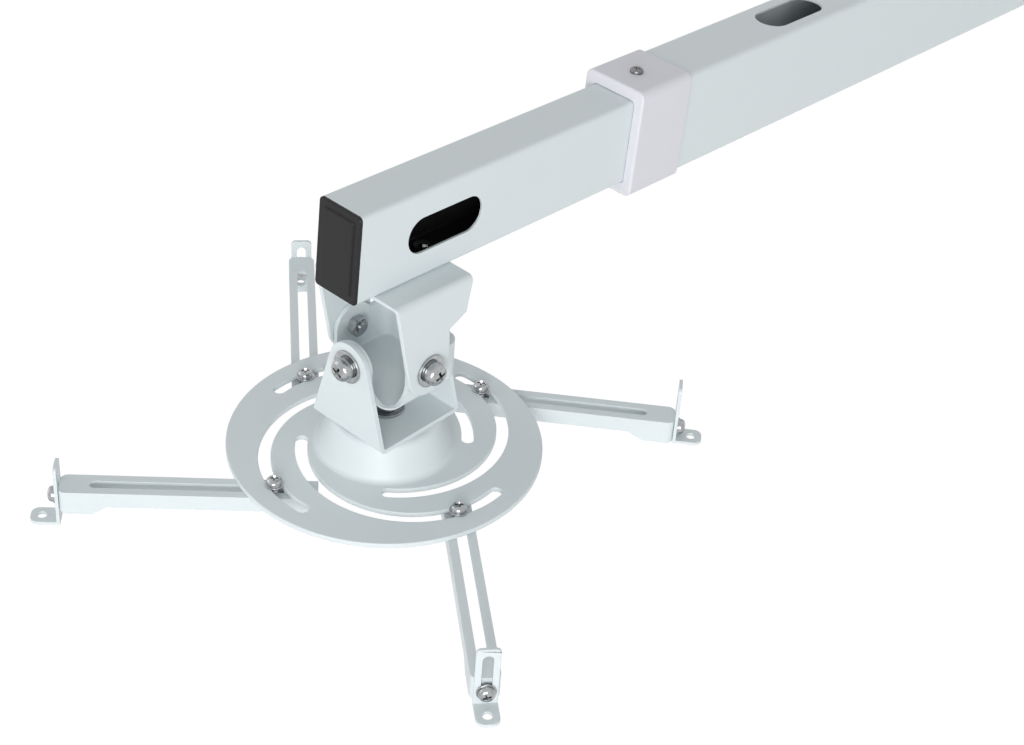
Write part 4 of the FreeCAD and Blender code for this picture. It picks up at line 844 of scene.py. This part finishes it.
pivot_washer_sizes = {"Outer Radius": 0.0091, "Hole Radius": 0.0031, "Thickness": 0.0015}
lock_washer_sizes = {"Outer Radius": 0.0060, "Hole Radius": 0.0031, "Thickness": 0.0017}
pivot_bolt_sizes = dict(pivot_screw_sizes)
pivot_bolt_sizes.update({"Head Radius": 0.0064, "Head Height": 0.0048, "Shank Length": 0.0150})
lock_washer_seat = pivot_washer_sizes["Thickness"]
bolt_head_seat = lock_washer_seat + lock_washer_sizes["Thickness"]
pivot_centre = Vector((0, -0.760, -0.0715))
head_tilt = math.radians(3.3)
head_turn = Matrix.Rotation(head_tilt, 4, "X")
head = Matrix.Translation(pivot_centre) @ head_turn
quarter_turn = math.pi / 2
for pivot_name, quarters, ear_face, flange_face in (
    ("tilt", (0, 2), 0.0303, 0.0250),
    ("roll", (1, 3), 0.0285, 0.0232),
):
    outward = [
        head @ Matrix.Rotation(quarter_turn * quarter, 4, "Z") @ Matrix.Rotation(quarter_turn, 4, "Y")
        for quarter in quarters
    ]
    bolt_seat = Matrix.Translation((0, 0, ear_face + bolt_head_seat))
    lock_washer_move = Matrix.Translation((0, 0, ear_face + lock_washer_seat))
    washer_move = Matrix.Translation((0, 0, ear_face))
    nut_move = Matrix.Translation((0, 0, flange_face - pivot_nut_sizes["Thickness"]))
    bolt_places = [
        place @ bolt_seat @ Matrix.Rotation(0.3 + index * 0.8, 4, "Z")
        for index, place in enumerate(outward)
    ]
    set_fasteners(
        pivot_name + "_screws", pivot_name + "_bolts", "knuckle",
        cross_head_screw, pivot_bolt_sizes, bolt_places,
    )
    set_fasteners(
        pivot_name + "_flat_washers", pivot_name + "_washers", "knuckle",
        flat_washer, pivot_washer_sizes, [place @ washer_move for place in outward],
    )
    set_fasteners(
        pivot_name + "_lock_washers", None, "knuckle",
        split_washer, lock_washer_sizes, [place @ lock_washer_move for place in outward],
    )
    set_fasteners(
        pivot_name + "_hex_nuts", pivot_name + "_nuts", "knuckle",
        hexagon_nut, pivot_nut_sizes, [place @ nut_move for place in outward],
    )


# Yoke: sheet steel folded into a channel with tapered ears, standing on the spider plate's
# boss. The swivel bolt comes up through both, with its nut and washer on the yoke's base.

finish_node("yoke", white_coat, 0.0004)

swivel_bolt_sizes = {
    "Head Radius": 0.0085, "Head Height": 0.0045,
    "Shank Radius": 0.004, "Shank Length": 0.0151, "Pitch": 0.00125,
}
swivel_nut_sizes = {"Across Flats": 0.013, "Thickness": 0.0065, "Hole Radius": 0.004}
swivel_washer_sizes = {"Outer Radius": 0.010, "Hole Radius": 0.0041, "Thickness": 0.0016}
boss_underside = -0.04655
yoke_base_top = -0.0410
swivel_washer_top = yoke_base_top + swivel_washer_sizes["Thickness"]
swivel_bolt_place = head @ Matrix.Translation((0, 0, boss_underside)) @ turned_over
swivel_washer_place = head @ Matrix.Translation((0, 0, yoke_base_top))
swivel_nut_place = head @ Matrix.Translation((0, 0, swivel_washer_top))
set_fasteners(
    "swivel_screw", "swivel_bolt", "yoke",
    cross_head_screw, swivel_bolt_sizes, [swivel_bolt_place],
)
set_fasteners(
    "swivel_flat_washer", "swivel_washer", "yoke",
    flat_washer, swivel_washer_sizes, [swivel_washer_place],
)
set_fasteners(
    "swivel_hex_nut", "swivel_nut", "yoke",
    hexagon_nut, swivel_nut_sizes, [swivel_nut_place],
)


# Spider plate: a round plate pressed up into a hollow boss, with four arc slots punched
# round it, one for each arm's bolt.

finish_node("spider_plate", white_coat, 0.0005)


# Arms and feet: four slotted channels pressed from sheet, each clamped under the plate by one
# bolt, with a slotted foot of folded sheet screwed to its closed outer end.

small_screw_sizes = {
    "Head Radius": 0.00425, "Head Height": 0.0034,
    "Shank Radius": 0.0025, "Shank Length": 0.0125, "Pitch": 0.0008,
}
foot_screw_sizes = dict(small_screw_sizes, **{"Shank Length": 0.0101})
small_nut_sizes = {"Across Flats": 0.008, "Thickness": 0.004, "Hole Radius": 0.0025}
small_washer_sizes = {"Outer Radius": 0.0050, "Hole Radius": 0.0026, "Thickness": 0.001}
arm_screw_seat = 0.0042
upper_washer_seat = 0.0032
lower_washer_seat = -0.0028
arm_nut_seat = -0.0068
foot_screw_drop = -0.007
foot_screw_seat = 0.0028
foot_washer_seat = 0.0018
foot_nut_seat = -0.0058
swing_centres = {
    joint["name"]: Vector(joint["pos_m"]) for joint in frame["joints"] if "pos_m" in joint
}
for arm_name, arm_heading, arm_out in (
    ("rear_left", 138.5, 0.1240),
    ("front_left", -135.3, 0.1105),
    ("front_right", -39.5, 0.1175),
    ("rear_right", 37.0, 0.1085),
):
    finish_node("arm_" + arm_name, white_coat, 0.0003)
    finish_node("foot_" + arm_name, white_coat, 0.0003)
    arm_place = (
        Matrix.Translation(swing_centres["swing_" + arm_name])
        @ head_turn
        @ Matrix.Rotation(math.radians(arm_heading), 4, "Z")
    )
    clamp_body = "clamp_" + arm_name
    arm_body = "arm_" + arm_name
    bolt_place = arm_place @ Matrix.Translation((0, 0, arm_screw_seat))
    washer_places = [
        arm_place @ Matrix.Translation((0, 0, seat)) for seat in (upper_washer_seat, lower_washer_seat)
    ]
    nut_place = arm_place @ Matrix.Translation((0, 0, arm_nut_seat))
    set_fasteners(
        "arm_screw_" + arm_name, "arm_bolt_" + arm_name, clamp_body,
        cross_head_screw, small_screw_sizes, [bolt_place],
    )
    set_fasteners(
        "arm_flat_washers_" + arm_name, "arm_washers_" + arm_name, clamp_body,
        flat_washer, small_washer_sizes, washer_places,
    )
    set_fasteners(
        "arm_hex_nut_" + arm_name, "arm_nut_" + arm_name, clamp_body,
        hexagon_nut, small_nut_sizes, [nut_place],
    )
    screw_height = Matrix.Translation((arm_out, 0, foot_screw_drop))
    screw_axis = arm_place @ screw_height @ Matrix.Rotation(quarter_turn, 4, "Y")
    screw_place = (
        screw_axis @ Matrix.Translation((0, 0, foot_screw_seat)) @ Matrix.Rotation(0.35, 4, "Z")
    )
    foot_washer_place = screw_axis @ Matrix.Translation((0, 0, foot_washer_seat))
    foot_nut_place = (
        screw_axis @ Matrix.Rotation(math.radians(30), 4, "Z") @ Matrix.Translation((0, 0, foot_nut_seat))
    )
    set_fasteners(
        "foot_cross_screw_" + arm_name, "foot_screw_" + arm_name, arm_body,
        cross_head_screw, foot_screw_sizes, [screw_place],
    )
    set_fasteners(
        "foot_flat_washer_" + arm_name, "foot_washer_" + arm_name, arm_body,
        flat_washer, small_washer_sizes, [foot_washer_place],
    )
    set_fasteners(
        "foot_hex_nut_" + arm_name, "foot_nut_" + arm_name, arm_body,
        hexagon_nut, small_nut_sizes, [foot_nut_place],
    )
